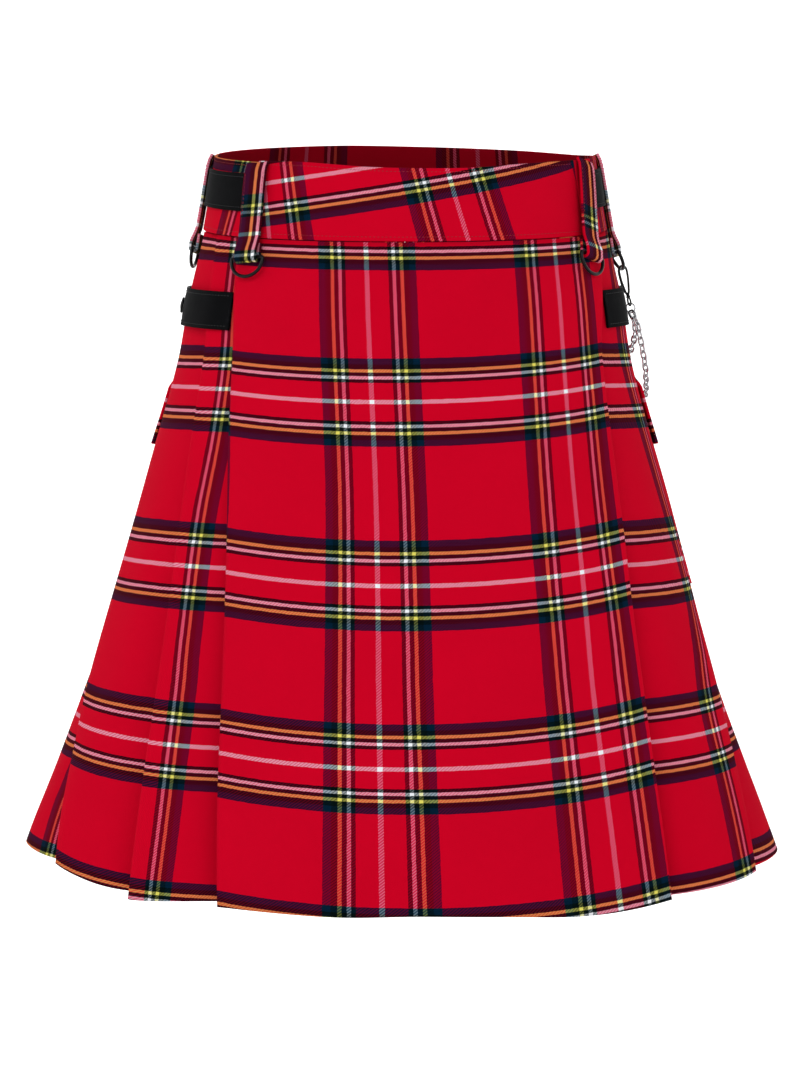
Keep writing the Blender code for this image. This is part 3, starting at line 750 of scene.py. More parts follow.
@dataclass(frozen=True)
class TartanCloth:
    """Twill wool tartan."""

    name: str = "tartan_twill"
    roughness: float = 0.86
    sheen: float = 0.015
    relief: float = 0.00022
    painted_shade: float = 1.0             # painted shade of the wrong side: its colour darkened by this factor, 1 for none

    def looks(self, graph: Graph, _: Socket) -> dict[str, object]:
        """Inputs of the cloth's shader.

        Args:
            graph: the material's graph.
            _: its Object coordinates, which aren't used.

        Returns:
            Values or sockets by the shader's input names.
        """
        weave = graph.group("twill_tartan")
        bump = graph.add("Bump", Strength=0.55, Distance=self.relief, Height=weave.outputs["Height"])
        # the base colour is multiplied by the painted shade factor
        colour = graph.mix(1.0, weave.outputs["Color"], (self.painted_shade, self.painted_shade, self.painted_shade, 1), "MULTIPLY")
        return {"Base_Color": colour, "Roughness": self.roughness, "Sheen_Weight": self.sheen,
                "Sheen_Roughness": 0.45, "Sheen_Tint": (1.0, 0.25, 0.3, 1), "Specular_IOR_Level": 0.03,
                "Normal": bump.outputs[0]}


@dataclass(frozen=True)
class StrapLeather:
    """Black leather with a fine grain and rubbed high spots."""

    name: str = "strap_leather"
    colour: Colour = (0.0032, 0.0034, 0.0040)
    rubbed: Colour = (0.0065, 0.0066, 0.0078)
    grain_size: float = 900.0

    def looks(self, graph: Graph, place: Socket) -> dict[str, object]:
        """Inputs of the leather's shader.

        Args:
            graph: the material's graph.
            place: its Object coordinates.

        Returns:
            Values or sockets by the shader's input names.
        """
        cells = graph.add("TexVoronoi", {"feature": "F1"}, Vector=place, Scale=self.grain_size)
        creases = graph.noise(place, 220.0, 4.0, 0.6)
        height = graph.plus(cells.outputs["Distance"], graph.times(creases, 0.8))
        wear = graph.group("wear", Scale=90.0, Amount=0.46)
        bump = graph.add("Bump", Strength=0.5, Distance=0.00018, Height=height)
        return {"Base_Color": graph.mix(wear.outputs[0], (*self.colour, 1), (*self.rubbed, 1)),
                "Roughness": graph.plus(0.48, graph.times(creases, 0.16)), "Specular_IOR_Level": 0.02,
                "Normal": bump.outputs[0]}


@dataclass(frozen=True)
class PlatedMetal:
    """Plated metal, its coat rubbed through to a brighter metal where it is handled."""

    name: str
    colour: Colour
    rubbed: Colour
    roughness: float
    metallic: float
    amount: float

    def looks(self, graph: Graph, place: Socket) -> dict[str, object]:
        """Inputs of the metal's shader.

        Args:
            graph: the material's graph.
            place: its Object coordinates.

        Returns:
            Values or sockets by the shader's input names.
        """
        wear = graph.group("wear", Scale=260.0, Amount=self.amount)
        fine = graph.noise(place, 1500.0, 3.0, 0.6)
        bump = graph.add("Bump", Strength=0.25, Distance=0.00005, Height=fine)
        return {"Base_Color": graph.mix(wear.outputs[0], (*self.colour, 1), (*self.rubbed, 1)),
                "Roughness": graph.plus(self.roughness, graph.times(fine, 0.16)), "Metallic": self.metallic,
                "Normal": bump.outputs[0]}


@dataclass(frozen=True)
class SewingThread:
    """Twisted sewing thread."""

    name: str
    colour: Colour

    def looks(self, graph: Graph, place: Socket) -> dict[str, object]:
        """Inputs of the thread's shader.

        Args:
            graph: the material's graph.
            place: its Object coordinates.

        Returns:
            Values or sockets by the shader's input names.
        """
        twist = graph.add("TexWave", {"bands_direction": "DIAGONAL"}, Vector=place, Scale=900.0,
                          Distortion=1.0).outputs["Fac"]
        bump = graph.add("Bump", Strength=0.4, Distance=0.00008, Height=twist)
        # the twist's ridges are painted lighter: a painted highlight along each stitch
        twist_painted_highlight = (*(part * 1.6 for part in self.colour), 1)
        return {"Base_Color": graph.mix(twist, (*self.colour, 1), twist_painted_highlight), "Roughness": 0.7,
                "Normal": bump.outputs[0]}


class Finishes:
    """Every finish of the kilt, made once."""

    def __init__(self) -> None:
        """Build the shared groups, then the materials."""
        Sett().group()
        weave_group()
        wear_group()
        black = PlatedMetal("black_plating", (0.016, 0.016, 0.017), (0.14, 0.13, 0.12), 0.24, 0.92, 0.30)
        steel = PlatedMetal("bright_steel", (0.62, 0.62, 0.64), (0.36, 0.35, 0.36), 0.14, 1.0, 0.42)
        made = [surface(finish.name, finish.looks) for finish in
                # the second tartan is the same cloth darkened as painted shade, for the waistband's inner
                # face
                (TartanCloth(), TartanCloth("tartan_painted_shade", painted_shade=0.36), StrapLeather(), black, steel,
                 SewingThread("red_thread", (0.22, 0.004, 0.012)),
                 SewingThread("black_thread", (0.02, 0.02, 0.021)))]
        (self.cloth, self.cloth_inside, self.leather, self.black_metal, self.steel, self.red_thread,
         self.black_thread) = made


FINISHES = Finishes()


def stitch(name: str, lines: Iterable[Line], thread: Material, spacing: float = 0.0034,
           length: float = 0.0024, thickness: float = 0.00028) -> Piece:
    """Rows of small stitches along lines, as one piece.

    Args:
        name: the piece's name.
        lines: lines of sewing.
        thread: their finish.
        spacing: from stitch to stitch.
        length: of a stitch.
        thickness: half of a stitch's.

    Returns:
        The new object.
    """
    bm = bmesh.new()
    size = Matrix.Diagonal((length / 2, thickness, thickness, 1))
    for route in map(Route, lines):
        for travelled in np.arange(spacing / 2, route.lengths[-1], spacing):
            index, middle = route.at(travelled)
            along = (route.points[index + 1] - route.points[index]).normalized()
            outward = Vector((middle.x, middle.y, 0.0)).normalized()
            side = along.cross(outward).normalized()
            turn = Matrix((along, side, along.cross(side))).transposed().to_4x4()
            bmesh.ops.create_icosphere(bm, subdivisions=1, radius=1.0,
                                       matrix=Matrix.Translation(middle) @ turn @ size)
    return finish_piece(name, new_mesh(name, bm), thread, sharp=80)


# ---------------------------------------------------------------- aprons and pleats
STATIONS = (0.0, 0.103, 0.273, 0.5549)    # cloth distances at which folds and depths are given
GRAIN_HEIGHTS = (-0.566, -0.526, -0.421, -0.380, -0.278, -0.229, -0.117, -0.074)
GRAIN_REPEAT = (0.1954, 0.1918, 0.1817, 0.1786, 0.1710, 0.1691, 0.1686, 0.1666)
GRAIN_START = (-0.0151, -0.0161, -0.0189, -0.0196, -0.0222, -0.0243, -0.0305, -0.0320)
WEFT_PLACES = (-0.0121, 0.1339, 0.2859, 0.4359, 0.5859)    # cloth distances of the white weft lines
HAIRPIN = range(90, -91, -30)             # degrees of the spots round a fold
TO_FOLD = 3                               # spots of a hairpin on each side of its fold edge


def at_station(values: Sequence[float], distance: float) -> float:
    """Size at a cloth distance, from its values at the stations."""
    return float(through(STATIONS, values, np.array([distance]))[0])


@dataclass
class Spot:
    """One point of a row of cloth: angle, distance outwards, rise and number of its pleat."""

    angle: float
    out: float
    rise: float
    number: int = 0


@dataclass
class Level:
    """Sizes of the folded cloth at one distance below the seam."""

    height: float
    depth: float
    opening: float
    swell: float
    step: float


@dataclass
class PleatPlan:
    """Knife pleats of both sides, and the folds that the aprons share with them."""

    # degrees of each seen fold edge from the front centre, at each station, and the number of pleats
    folds: dict[Side, tuple] = field(default_factory=lambda: {
        Side.LEFT: (((52.8, 47.3, 37.2, 26.2), (65.0, 60.0, 52.0, 41.6), (80.0, 85.0, 88.0, 62.0)), 8),
        Side.RIGHT: (((69.6, 58.6, 50.6, 41.6), (88.0, 86.5, 87.5, 65.2)), 7)})
    back_fold: tuple[float, ...] = (179.3, 179.2, 178.6, 177.5)
    depth: tuple[float, ...] = (0.0078, 0.0095, 0.0180, 0.0290)
    swell: tuple[float, ...] = (1.0, 1.05, 1.4, 1.7)       # 1 is a flat face, more a rounded one
    underlap: tuple[float, ...] = (0.0300, 0.0290, 0.0250, 0.0200)
    opening: tuple[float, ...] = (0.0020, 0.0021, 0.0028, 0.0038)
    under_apron_depth: tuple[float, ...] = (0.0048, 0.0060, 0.0090, 0.0140)
    step: float = 0.0060
    rows: int = 72

    def level(self, distance: float) -> Level:
        """Sizes at a cloth distance."""
        sizes = (at_station(values, distance) for values in (self.depth, self.opening, self.swell))
        return Level(WORN.seam - distance, *sizes, self.step * min(distance / 0.05, 1.0))

    def edges(self, side: Side, distance: float) -> list[float]:
        """Angles of the apron's edge and of every fold edge at a row.

        Args:
            side: side of the kilt.
            distance: cloth distance below the waist seam.

        Returns:
            Angles, all positive, from the apron's edge to the last fold.
        """
        seen, count = self.folds[side]
        edges = [math.radians(at_station(fold, distance)) for fold in seen]
        last = math.radians(at_station(self.back_fold, distance))
        angles = np.linspace(edges[-1], last, 91)
        lengths = 1.0 / WORN.turn_for(1.0, angles[:-1], np.full(90, WORN.seam - distance))
        travelled = np.concatenate([[0.0], np.cumsum(lengths)])
        hidden = count + 1 - len(edges)
        goals = travelled[-1] * np.arange(1, hidden + 1) / hidden
        return edges + list(np.interp(goals, travelled, angles))

    def inner(self, edges: Sequence[float], distance: float) -> list[float]:
        """Angle of the hidden fold under each fold edge.

        Args:
            edges: angles of the fold edges.
            distance: cloth distance below the waist seam.

        Returns:
            Angles of the hidden folds.
        """
        height = WORN.seam - distance
        folds = []
        for number, edge in enumerate(edges):
            room = at_station(self.underlap, distance)
            if number:
                room = min(room, 0.8 * (edge - edges[number - 1]) / WORN.turn(1.0, edge, height))
            folds.append(edge - WORN.turn(room, edge, height))
        return folds

    def hairpin(self, angle: float, level: Level, outer: bool, number: int = 0) -> list[Spot]:
        """Spots round a fold: an outer one turns in at an edge, an inner one turns back.

        Args:
            angle: angle of the fold.
            level: sizes at this row.
            outer: whether it is a seen fold edge.
            number: number of its pleat.

        Returns:
            Seven spots, the fold edge in their middle.
        """
        radius = level.opening / 2
        middle, rise, side = (-radius, 0.0, 1) if outer else (radius - level.depth, level.step, -1)
        spots = []
        for corner in HAIRPIN:
            around = math.radians(corner)
            shift = WORN.turn(radius * math.cos(around), angle, level.height)
            spots.append(Spot(angle + side * shift, middle + radius * math.sin(around), rise, number))
        return spots

    def underside(self, start: float, end: float, shares: Array, level: Level,
                  number: int = 0) -> list[Spot]:
        """Spots of the cloth that runs back under a fold edge."""
        deeper = 2 * level.opening - level.depth
        return [Spot(start + (end - start) * share, deeper * share - level.opening, level.step * share,
                     number) for share in shares]

    def panel(self, row_of_spots: Callable[[float], list[Spot]], side: int = 1,
              down_shift: Callable | None = None) -> ClothGrid:
        """Points and weave of a hanging panel.

        Args:
            row_of_spots: gives one row's spots at a cloth distance, as many in each row.
            side: sign of the panel's angles.
            down_shift: extra cloth distance by distance, for cloth that is pulled up.

        Returns:
            The grid, with the tartan's places down the cloth.
        """
        share = np.linspace(0.0, 1.0, self.rows)
        distances = WORN.apron_length * (share - 0.06 * np.sin(share * math.tau) / math.tau)
        rows = np.array([[(spot.angle, spot.out, spot.rise) for spot in row_of_spots(float(distance))]
                         for distance in distances])
        angles, out, rise = side * rows[..., 0], rows[..., 1], rows[..., 2]
        down = distances[:, None] * WORN.longer(angles[0])[None, :]
        if down_shift is not None:
            down = down + down_shift(down)
        points = WORN.point(angles, WORN.hang(angles, distances) + rise, out - CLOTH / 2)
        weft = through(WEFT_PLACES, range(len(WEFT_PLACES)), down)
        return ClothGrid(points, np.stack([np.zeros_like(weft), weft], axis=-1))


PLAN = PleatPlan()


@dataclass
class FrontApron:
    """Flat front of the kilt, folded under at its right edge."""

    name: str = "apron_front"
    columns: int = 90
    fold_columns: int = 6

    def row(self, distance: float) -> list[Spot]:
        """Spots along one row, from the left edge to the end of the fold.

        Args:
            distance: cloth distance below the waist seam.

        Returns:
            The row's spots.
        """
        level = PLAN.level(distance)
        left = -PLAN.edges(Side.LEFT, distance)[0]
        right_edges = PLAN.edges(Side.RIGHT, distance)
        right, under = right_edges[0], PLAN.inner(right_edges, distance)[0]
        under += WORN.turn(2 * GAP, under, level.height)
        spots = [Spot(float(angle), 0.0, 0.0) for angle in np.linspace(left, right, self.columns + 1)[:-1]]
        return (spots + PLAN.hairpin(right, level, True)
                + PLAN.underside(right, under, np.linspace(0.0, 1.0, self.fold_columns + 1)[1:], level))

    def build(self) -> None:
        """The apron as a sheet of cloth."""
        grid = PLAN.panel(self.row)
        face = self.columns + TO_FOLD
        along, heights = lengthwise(grid.points), grid.points[..., 2]
        start, repeat = (through(GRAIN_HEIGHTS, values, heights) for values in (GRAIN_START, GRAIN_REPEAT))
        across = (WORN.arc(WORN.angle_of(grid.points), heights) - start) / repeat
        across[:, face:] = across[:, face:face + 1] + (along[:, face:] - along[:, face:face + 1]) / REPEAT
        grid.weave[..., 0] = across
        cloth_piece(self.name, grid.mesh(self.name), "front_apron", held="hung", rests_on=["yoke"],
                    **cut_of(grid.points))


@dataclass
class UnderApron:
    """Inner apron, from its free right edge to where it joins the left pleats."""

    name: str = "apron_under"
    columns: int = 80
    short_of_fold: float = 0.012   # its free edge stops this far from the front apron's fold
    weave_start: float = 0.31      # place in the tartan at the free edge
    weave_repeat: float = 1.1 * REPEAT
    eases_from: float = 0.55       # share of the width past which it goes in under the pleats

    def row(self, distance: float) -> list[Spot]:
        """Spots along one row, from the free edge to the left pleats.

        Args:
            distance: cloth distance below the waist seam.

        Returns:
            The row's spots.
        """
        level = PLAN.level(distance)
        inside = at_station(PLAN.under_apron_depth, distance)
        right = PLAN.inner(PLAN.edges(Side.RIGHT, distance), distance)[0]
        right -= WORN.turn(self.short_of_fold, right, level.height)
        left = -PLAN.inner(PLAN.edges(Side.LEFT, distance), distance)[0]
        left += WORN.turn(2 * GAP, left, level.height)
        spots = []
        for share in np.linspace(0.0, 1.0, self.columns + 1):
            ease = float(smoothstep(np.array((share - self.eases_from) / (1 - self.eases_from))))
            spots.append(Spot(right + (left - right) * share, -inside - (level.depth - inside) * ease,
                              level.step * ease))
        return spots

    def build(self) -> None:
        """The inner apron as a sheet of cloth."""
        grid = PLAN.panel(self.row)
        grid.weave[..., 0] = self.weave_start - lengthwise(grid.points) / self.weave_repeat
        cloth_piece(self.name, grid.mesh(self.name), "under_apron", held="hung", rests_on=["yoke"],
                    **cut_of(grid.points))


@dataclass(frozen=True)
class Guide:
    """Line of the tartan down a pleat, by angles at given heights or along the pleat's own fold edge."""

    place: float                   # in the repeat
    repeat: float                  # on this pleat
    pull_up: float                 # how far the pleat hangs higher
    heights: tuple[float, ...] = ()
    angles: tuple[float, ...] = ()
    behind: float | None = None    # repeat behind the line's own dark edge, where it differs
    dark_edge: float = 0.0050

    def start(self, edge: Array) -> Array:
        """Distance of the line behind the points of a fold edge, negative on its seen side.

        Args:
            edge: points down the fold edge.

        Returns:
            A distance for each point.
        """
        if not self.heights:
            return np.zeros(len(edge))
        height = edge[:, 2]
        line = np.radians(through(self.heights, self.angles, height))
        return WORN.arc(line, height) - WORN.arc(np.abs(WORN.angle_of(edge)), height)

    def across(self, from_line: Array, sign: int) -> Array:
        """Tartan across the pleat at distances behind the line."""
        near = np.minimum(from_line, self.dark_edge)
        return self.place + sign * (near / self.repeat + (from_line - near) / (self.behind or self.repeat))


@dataclass
class PleatedSide:
    """Knife pleats of one side, in one length of cloth from under the apron to the back centre."""

    side: Side
    starts_folded: bool
    guides: tuple[Guide, ...]
    face_columns: int = 14
    back_columns: int = 7

    def row(self, distance: float) -> list[Spot]:
        """Spots along one row.

        Args:
            distance: cloth distance below the waist seam.

        Returns:
            The row's spots.
        """
        level = PLAN.level(distance)
        edges = PLAN.edges(self.side, distance)
        inner = PLAN.inner(edges, distance)
        count = PLAN.folds[self.side][1]
        spots: list[Spot] = []
        for number in range(1, count + 1):
            start, end = inner[number - 1], edges[number]
            if number > 1 or self.starts_folded:
                spots += PLAN.hairpin(start, level, False, number)
            else:
                spots.append(Spot(start, -level.depth, level.step, number))
            for share in np.linspace(0.0, 1.0, self.face_columns + 2)[1:-1]:
                spots.append(Spot(start + (end - start) * share, -level.depth * (1 - share) ** level.swell,
                                  level.step * (1 - share), number))
            spots += PLAN.hairpin(end, level, True, number)
            shares = np.linspace(0.0, 1.0, self.back_columns + 2)[1:-1]
            spots += PLAN.underside(end, inner[number], shares, level, number)
        spots += PLAN.hairpin(inner[count], level, False, count + 1)
        centre = math.pi - WORN.turn(GAP / 2, math.pi, level.height)
        return spots + [Spot(inner[count] + (centre - inner[count]) * share, -level.depth, level.step,
                             count + 1) for share in (0.34, 0.67, 1.0)]

    def build(self) -> None:
        """The pleated side as a sheet of cloth, its tartan laid from a line down each pleat."""
        numbers = np.array([spot.number for spot in self.row(0.1)])
        guides = [self.guides[min(number, len(self.guides)) - 1] for number in numbers]
        lift = np.array([guide.pull_up for guide in guides])
        grid = PLAN.panel(self.row, self.side.value, lambda down: lift * np.clip(down / 0.30, 0.0, 1.0))
        along = lengthwise(grid.points)
        for number in range(1, numbers[-1] + 1):
            columns = np.flatnonzero(numbers == number)
            edge = columns[-self.back_columns - 1 - TO_FOLD] if number < numbers[-1] else columns[0]
            guide = guides[edge]
            start = along[:, edge] + guide.start(grid.points[:, edge])
            grid.weave[:, columns, 0] = guide.across(along[:, columns] - start[:, None], self.side.value)
        name = "knife_pleats_" + self.side.word
        cloth_piece(name, grid.mesh(name), "pleats_" + self.side.word, held="hung",
                    rests_on=["waistband_wrap"], **cut_of(grid.points))


# ---------------------------------------------------------------- waistband
@dataclass
class Band:
    """Stretch of the waistband: two layers of cloth, its edges rolled."""

    name: str
    node: str
    start: float
    end: float
    columns: int
    rise_angles: tuple[float, ...]
    rises: tuple[float, ...]       # of the top edge at these angles, which isn't straight
    rows: int = 16

    def place(self, angle: Array, share: Array) -> tuple[Array, Array]:
        """Tartan across and down at an angle and a share of the band's height."""
        raise NotImplementedError

    def rise(self, angle: Array, share: Array) -> Array:
        """How far the cloth lies above its straight place, most at the top edge."""
        return through(self.rise_angles, self.rises, np.degrees(angle)) * (1 - share)

    def height(self, angle: Array, share: Array) -> Array:
        """Height of the cloth."""
        return WORN.band_height(angle, share) + self.rise(angle, share)

    def seam_line(self, share: float) -> Line:
        """Line of sewing round the band's outer face."""
        angles = np.radians(np.linspace(self.start, self.end, 2 * self.columns))[2:-2]
        return [Vector(point) for point in WORN.point(angles, self.height(angles, share), ON_TOP)]

    def build(self) -> None:
        """The band as a sheet of doubled cloth."""
        angles = np.radians(np.linspace(self.start, self.end, self.columns + 1))
        direction = math.copysign(1.0, self.end - self.start)
        for column, sign in ((0, 1), (-1, -1)):
            angles[column] += sign * direction * WORN.turn(GAP / 2, angles[column], 0.0)
        angle, share = np.meshgrid(angles, np.linspace(0.0, 1.0, self.rows))
        points = WORN.point(angle, self.height(angle, share), -BAND_CLOTH / 2)
        mesh = ClothGrid(points, np.stack(self.place(angle, share), axis=-1)).mesh(self.name)
        if self.end > self.start:
            mesh.flip_normals()
        piece = cloth_piece(self.name, mesh, self.node, BAND_CLOTH, 0.0007, held="stretched",
                            **cut_of(points))
        # the wall's inner face gets the tartan darkened as painted shade
        piece.data.materials.append(FINISHES.cloth_inside)
        piece.modifiers["wall"].material_offset = 1


@dataclass
class Yoke(Band):
    """Front of the waistband, cut across the grain so that its lines climb to the right."""

    name: str = "yoke"
    node: str = "yoke_front"
    start: float = -48.0
    end: float = 59.7
    columns: int = 60
    rise_angles: tuple[float, ...] = (-48, -31, -20, -10, 5, 19, 33, 45, 60)
    rises: tuple[float, ...] = (0.0010, 0.0018, 0.0003, -0.0013, -0.0022, -0.0022, -0.0005, 0.0002, 0.0003)
    across_start: float = 0.0345   # where the white warp line leaves the top edge
    across_slope: float = 0.249    # how far it goes sideways, by its drop
    across_repeat: float = 0.1640
    down_place: float = 0.137      # place in the tartan at the next two values
    down_height: float = 0.0208
    down_start: float = 0.029
    down_slope: float = 0.170      # how far the level lines climb, by the way round
    down_repeat: float = 0.151

    def place(self, angle: Array, share: Array) -> tuple[Array, Array]:
        """Tartan across and down, sheared against the band.

        Args:
            angle: radians round the body from the front centre.
            share: share of the band's height, from its top edge.

        Returns:
            Repeats across and down.
        """
        round_body = WORN.arc(angle, np.zeros_like(angle))
        down = WORN.band * share - self.rise(angle, share)
        climb = self.down_slope * (round_body - self.down_start)
        return ((round_body - self.across_start - self.across_slope * down) / self.across_repeat,
                self.down_place + (self.down_height - WORN.band_top + down + climb) / self.down_repeat)


@dataclass
class Wrap(Band):
    """Sides and back of the waistband."""

    name: str = "waistband_wrap"
    node: str = "waistband"
    start: float = -48.0
    end: float = -300.3
    columns: int = 130
    rise_angles: tuple[float, ...] = (-300, -270, -245, -215, -185, -156, -48)
    rises: tuple[float, ...] = (0.0, -0.0008, -0.0035, -0.0030, -0.0017, 0.0, 0.0)
    across_centre: float = -203.9  # degrees round the body of the tartan's middle line
    across_repeat: float = 0.1650
    down_repeat: float = 0.151
    joined_at: float = -95.0       # in front of this the tartan is laid by the next three values
    front_shift: float = 0.43
    front_lean: float = 0.078
    front_down: float = 0.1785
    back_down: float = 0.30

    def place(self, angle: Array, share: Array) -> tuple[Array, Array]:
        """Tartan across and down, its lines level with the band.

        Args:
            angle: radians round the body from the front centre.
            share: share of the band's height, from its top edge.

        Returns:
            Repeats across and down.
        """
        round_body = WORN.arc(angle, np.zeros_like(angle))
        centre = WORN.arc(np.array(math.radians(self.across_centre)), np.array(0.0))
        front = angle > math.radians(self.joined_at)
        shift = np.where(front, self.front_shift + self.front_lean * (1 - share), 0.0)
        return ((round_body - centre) / self.across_repeat - shift,
                np.where(front, self.front_down, self.back_down) + WORN.band * share / self.down_repeat)


# ---------------------------------------------------------------- belt loops and rings
RING_WIRE = 0.0015
RING_WIDTH = 0.0335
RING_HEIGHT = 0.0160


@dataclass
class BeltLoop:
    """Doubled strip down the waistband, folded round the bar of its D-ring."""

    name: str
    top_angle: float
    low_angle: float
    below_seam: float
    ring_tilt: float
    ring_body: str
    across_start: float = -0.248
    across_repeat: float = 0.185
    low_place: float = 0.147
    repeat: float = 0.140          # of the tartan down the loop
    width: float = 0.0235
    rise: float = 0.0024           # over the strap that runs under the loop
    lower: float = 0.0             # how far its top edge is below the waistband's

    def __post_init__(self) -> None:
        """Straight axis of the loop on the waistband, with its own directions."""
        top_angle, low_angle = math.radians(self.top_angle), math.radians(self.low_angle)
        self.top = WORN.at(top_angle, float(WORN.band_height(top_angle, 0.0)) - self.lower)
        low = WORN.at(low_angle, float(WORN.band_height(low_angle, 1.0)) - self.below_seam)
        self.length = (low - self.top).length
        self.down = (low - self.top).normalized()
        middle = (top_angle + low_angle) / 2
        self.across = (WORN.at(middle, 0.0, 1.0) - WORN.at(middle, 0.0)).cross(self.down).normalized()
        self.out = self.down.cross(self.across).normalized()
        steps = 8
        places = [WORN.at(top_angle + (low_angle - top_angle) * k / steps,
                          self.top.z + (low.z - self.top.z) * k / steps) for k in range(steps + 1)]
        swell = max(0.0, *((place - self.top).dot(self.out) for place in places))
        self.base = swell + 0.0010 + BAND_CLOTH / 2

    def point(self, along: float, out: float, across: float = 0.0) -> Vector:
        """Point at a distance down the loop, out from the cloth and across it."""
        return self.top + self.down * along + self.out * out + self.across * across

    def leaning(self, degrees: float) -> Vector:
        """Direction down the loop, turned outwards."""
        return self.down * math.cos(math.radians(degrees)) + self.out * math.sin(math.radians(degrees))

    def bar(self) -> Vector:
        """Centre of the ring's straight bar, in the loop's bottom fold."""
        return self.point(self.length, self.base + RING_WIRE + GAP + BAND_CLOTH / 2)

    def profile(self) -> Line:
        """Line of the strip seen from its side, as vectors of along and out.

        Returns:
            Vectors whose x is the distance down the loop and y the distance outwards.
        """
        end, low = self.length, self.base
        turn = RING_WIRE + GAP + BAND_CLOTH / 2
        line = [(0.0010, low), (0.0030, low + 0.0003), (0.0085, low + self.rise),
                (end - 0.020, low + self.rise), (end - 0.013, low + self.rise + 0.0014),
                (end - 0.006, low + 2 * turn)]
        for degrees in range(90, -91, -15):
            around = math.radians(degrees)
            line.append((end + turn * math.cos(around), low + turn + turn * math.sin(around)))
        line += [(end - 0.005, low), (end - 0.0125, low)]
        return rounded([Vector((along, out, 0.0)) for along, out in line], 2, closed=False)

    def strip(self) -> None:
        """The loop as a folded sheet of doubled cloth."""
        shares = np.linspace(-0.5, 0.5, 9)
        points = np.array([[self.point(spot.x, spot.y, self.width * share) for share in shares]
                           for spot in self.profile()])
        travelled = lengthwise(points[None, :, 4])[0]
        weave = np.empty((*points.shape[:2], 2))
        weave[..., 0] = (self.low_place + (travelled - self.length) / self.repeat)[:, None]
        weave[..., 1] = self.across_start + self.width * (shares + 0.5) / self.across_repeat
        name = "belt_loop_" + self.name
        cloth_piece(name, ClothGrid(points, weave).mesh(name), "loop_" + self.name, BAND_CLOTH, 0.0008,
                    flat=(self.width, round(float(travelled[-1]), 4)), held="folded")

    def seam_lines(self) -> list[Line]:
        """Lines of sewing down both sides of the loop's flat face.

        Returns:
            Two lines of points.
        """
        face = self.base + self.rise + BAND_CLOTH / 2 + ON_TOP
        aside = self.width / 2 - 0.0022
        return [[self.point(along, face, across) for along in np.linspace(0.0100, self.length - 0.0220, 12)]
                for across in (-aside, aside)]

    def ring(self) -> None:
        """D-ring of bent wire, its bar in the loop's fold."""
        half, shoulder = RING_WIDTH / 2, 0.0025
        outline = [(-half + RING_WIDTH * k / 8, 0.0) for k in range(9)]
        outline += [(half * math.cos(math.pi * k / 28),
                     shoulder + (RING_HEIGHT - shoulder) * math.sin(math.pi * k / 28)) for k in range(29)]
        swing = self.leaning(self.ring_tilt)
        points = [self.bar() + self.across * across + swing * down for across, down in outline]
        name = "d_ring_" + self.name
        mesh = tube_mesh(name, rounded(points, 1, closed=True), RING_WIRE, closed=True, sides=16)
        finish_piece(name, mesh, FINISHES.black_metal, self.ring_body,
                     ["ring_" + self.name], sharp=60)


# ---------------------------------------------------------------- snap hooks and split rings
HOOK_WIRE = 0.0010
SPLIT_RING_RADIUS = 0.0042
EYE_WIRE = 0.0008
BOW = ((0.0, 0.0), (0.0006, 0.0019), (0.0028, 0.0034), (0.0065, 0.0036), (0.0130, 0.0031),
       (0.0190, 0.0022), (0.0250, 0.0012))
GATE = ((0.0035, 0.0034), (0.0080, 0.0036), (0.0180, 0.0030), (0.0235, 0.0016))
BARREL = ((0.0, 0.0), (0.0, 0.0013), (0.0004, 0.0019), (0.0012, 0.0019), (0.0014, 0.0015),
          (0.0030, 0.0015), (0.0032, 0.0019), (0.0042, 0.0019), (0.0045, 0.0013), (0.0045, 0.0))
KNOB = ((0.0, 0.0), (0.0, 0.0007), (0.0010, 0.0007), (0.0012, 0.0011), (0.0022, 0.0011),
        (0.0026, 0.0006), (0.0026, 0.0))


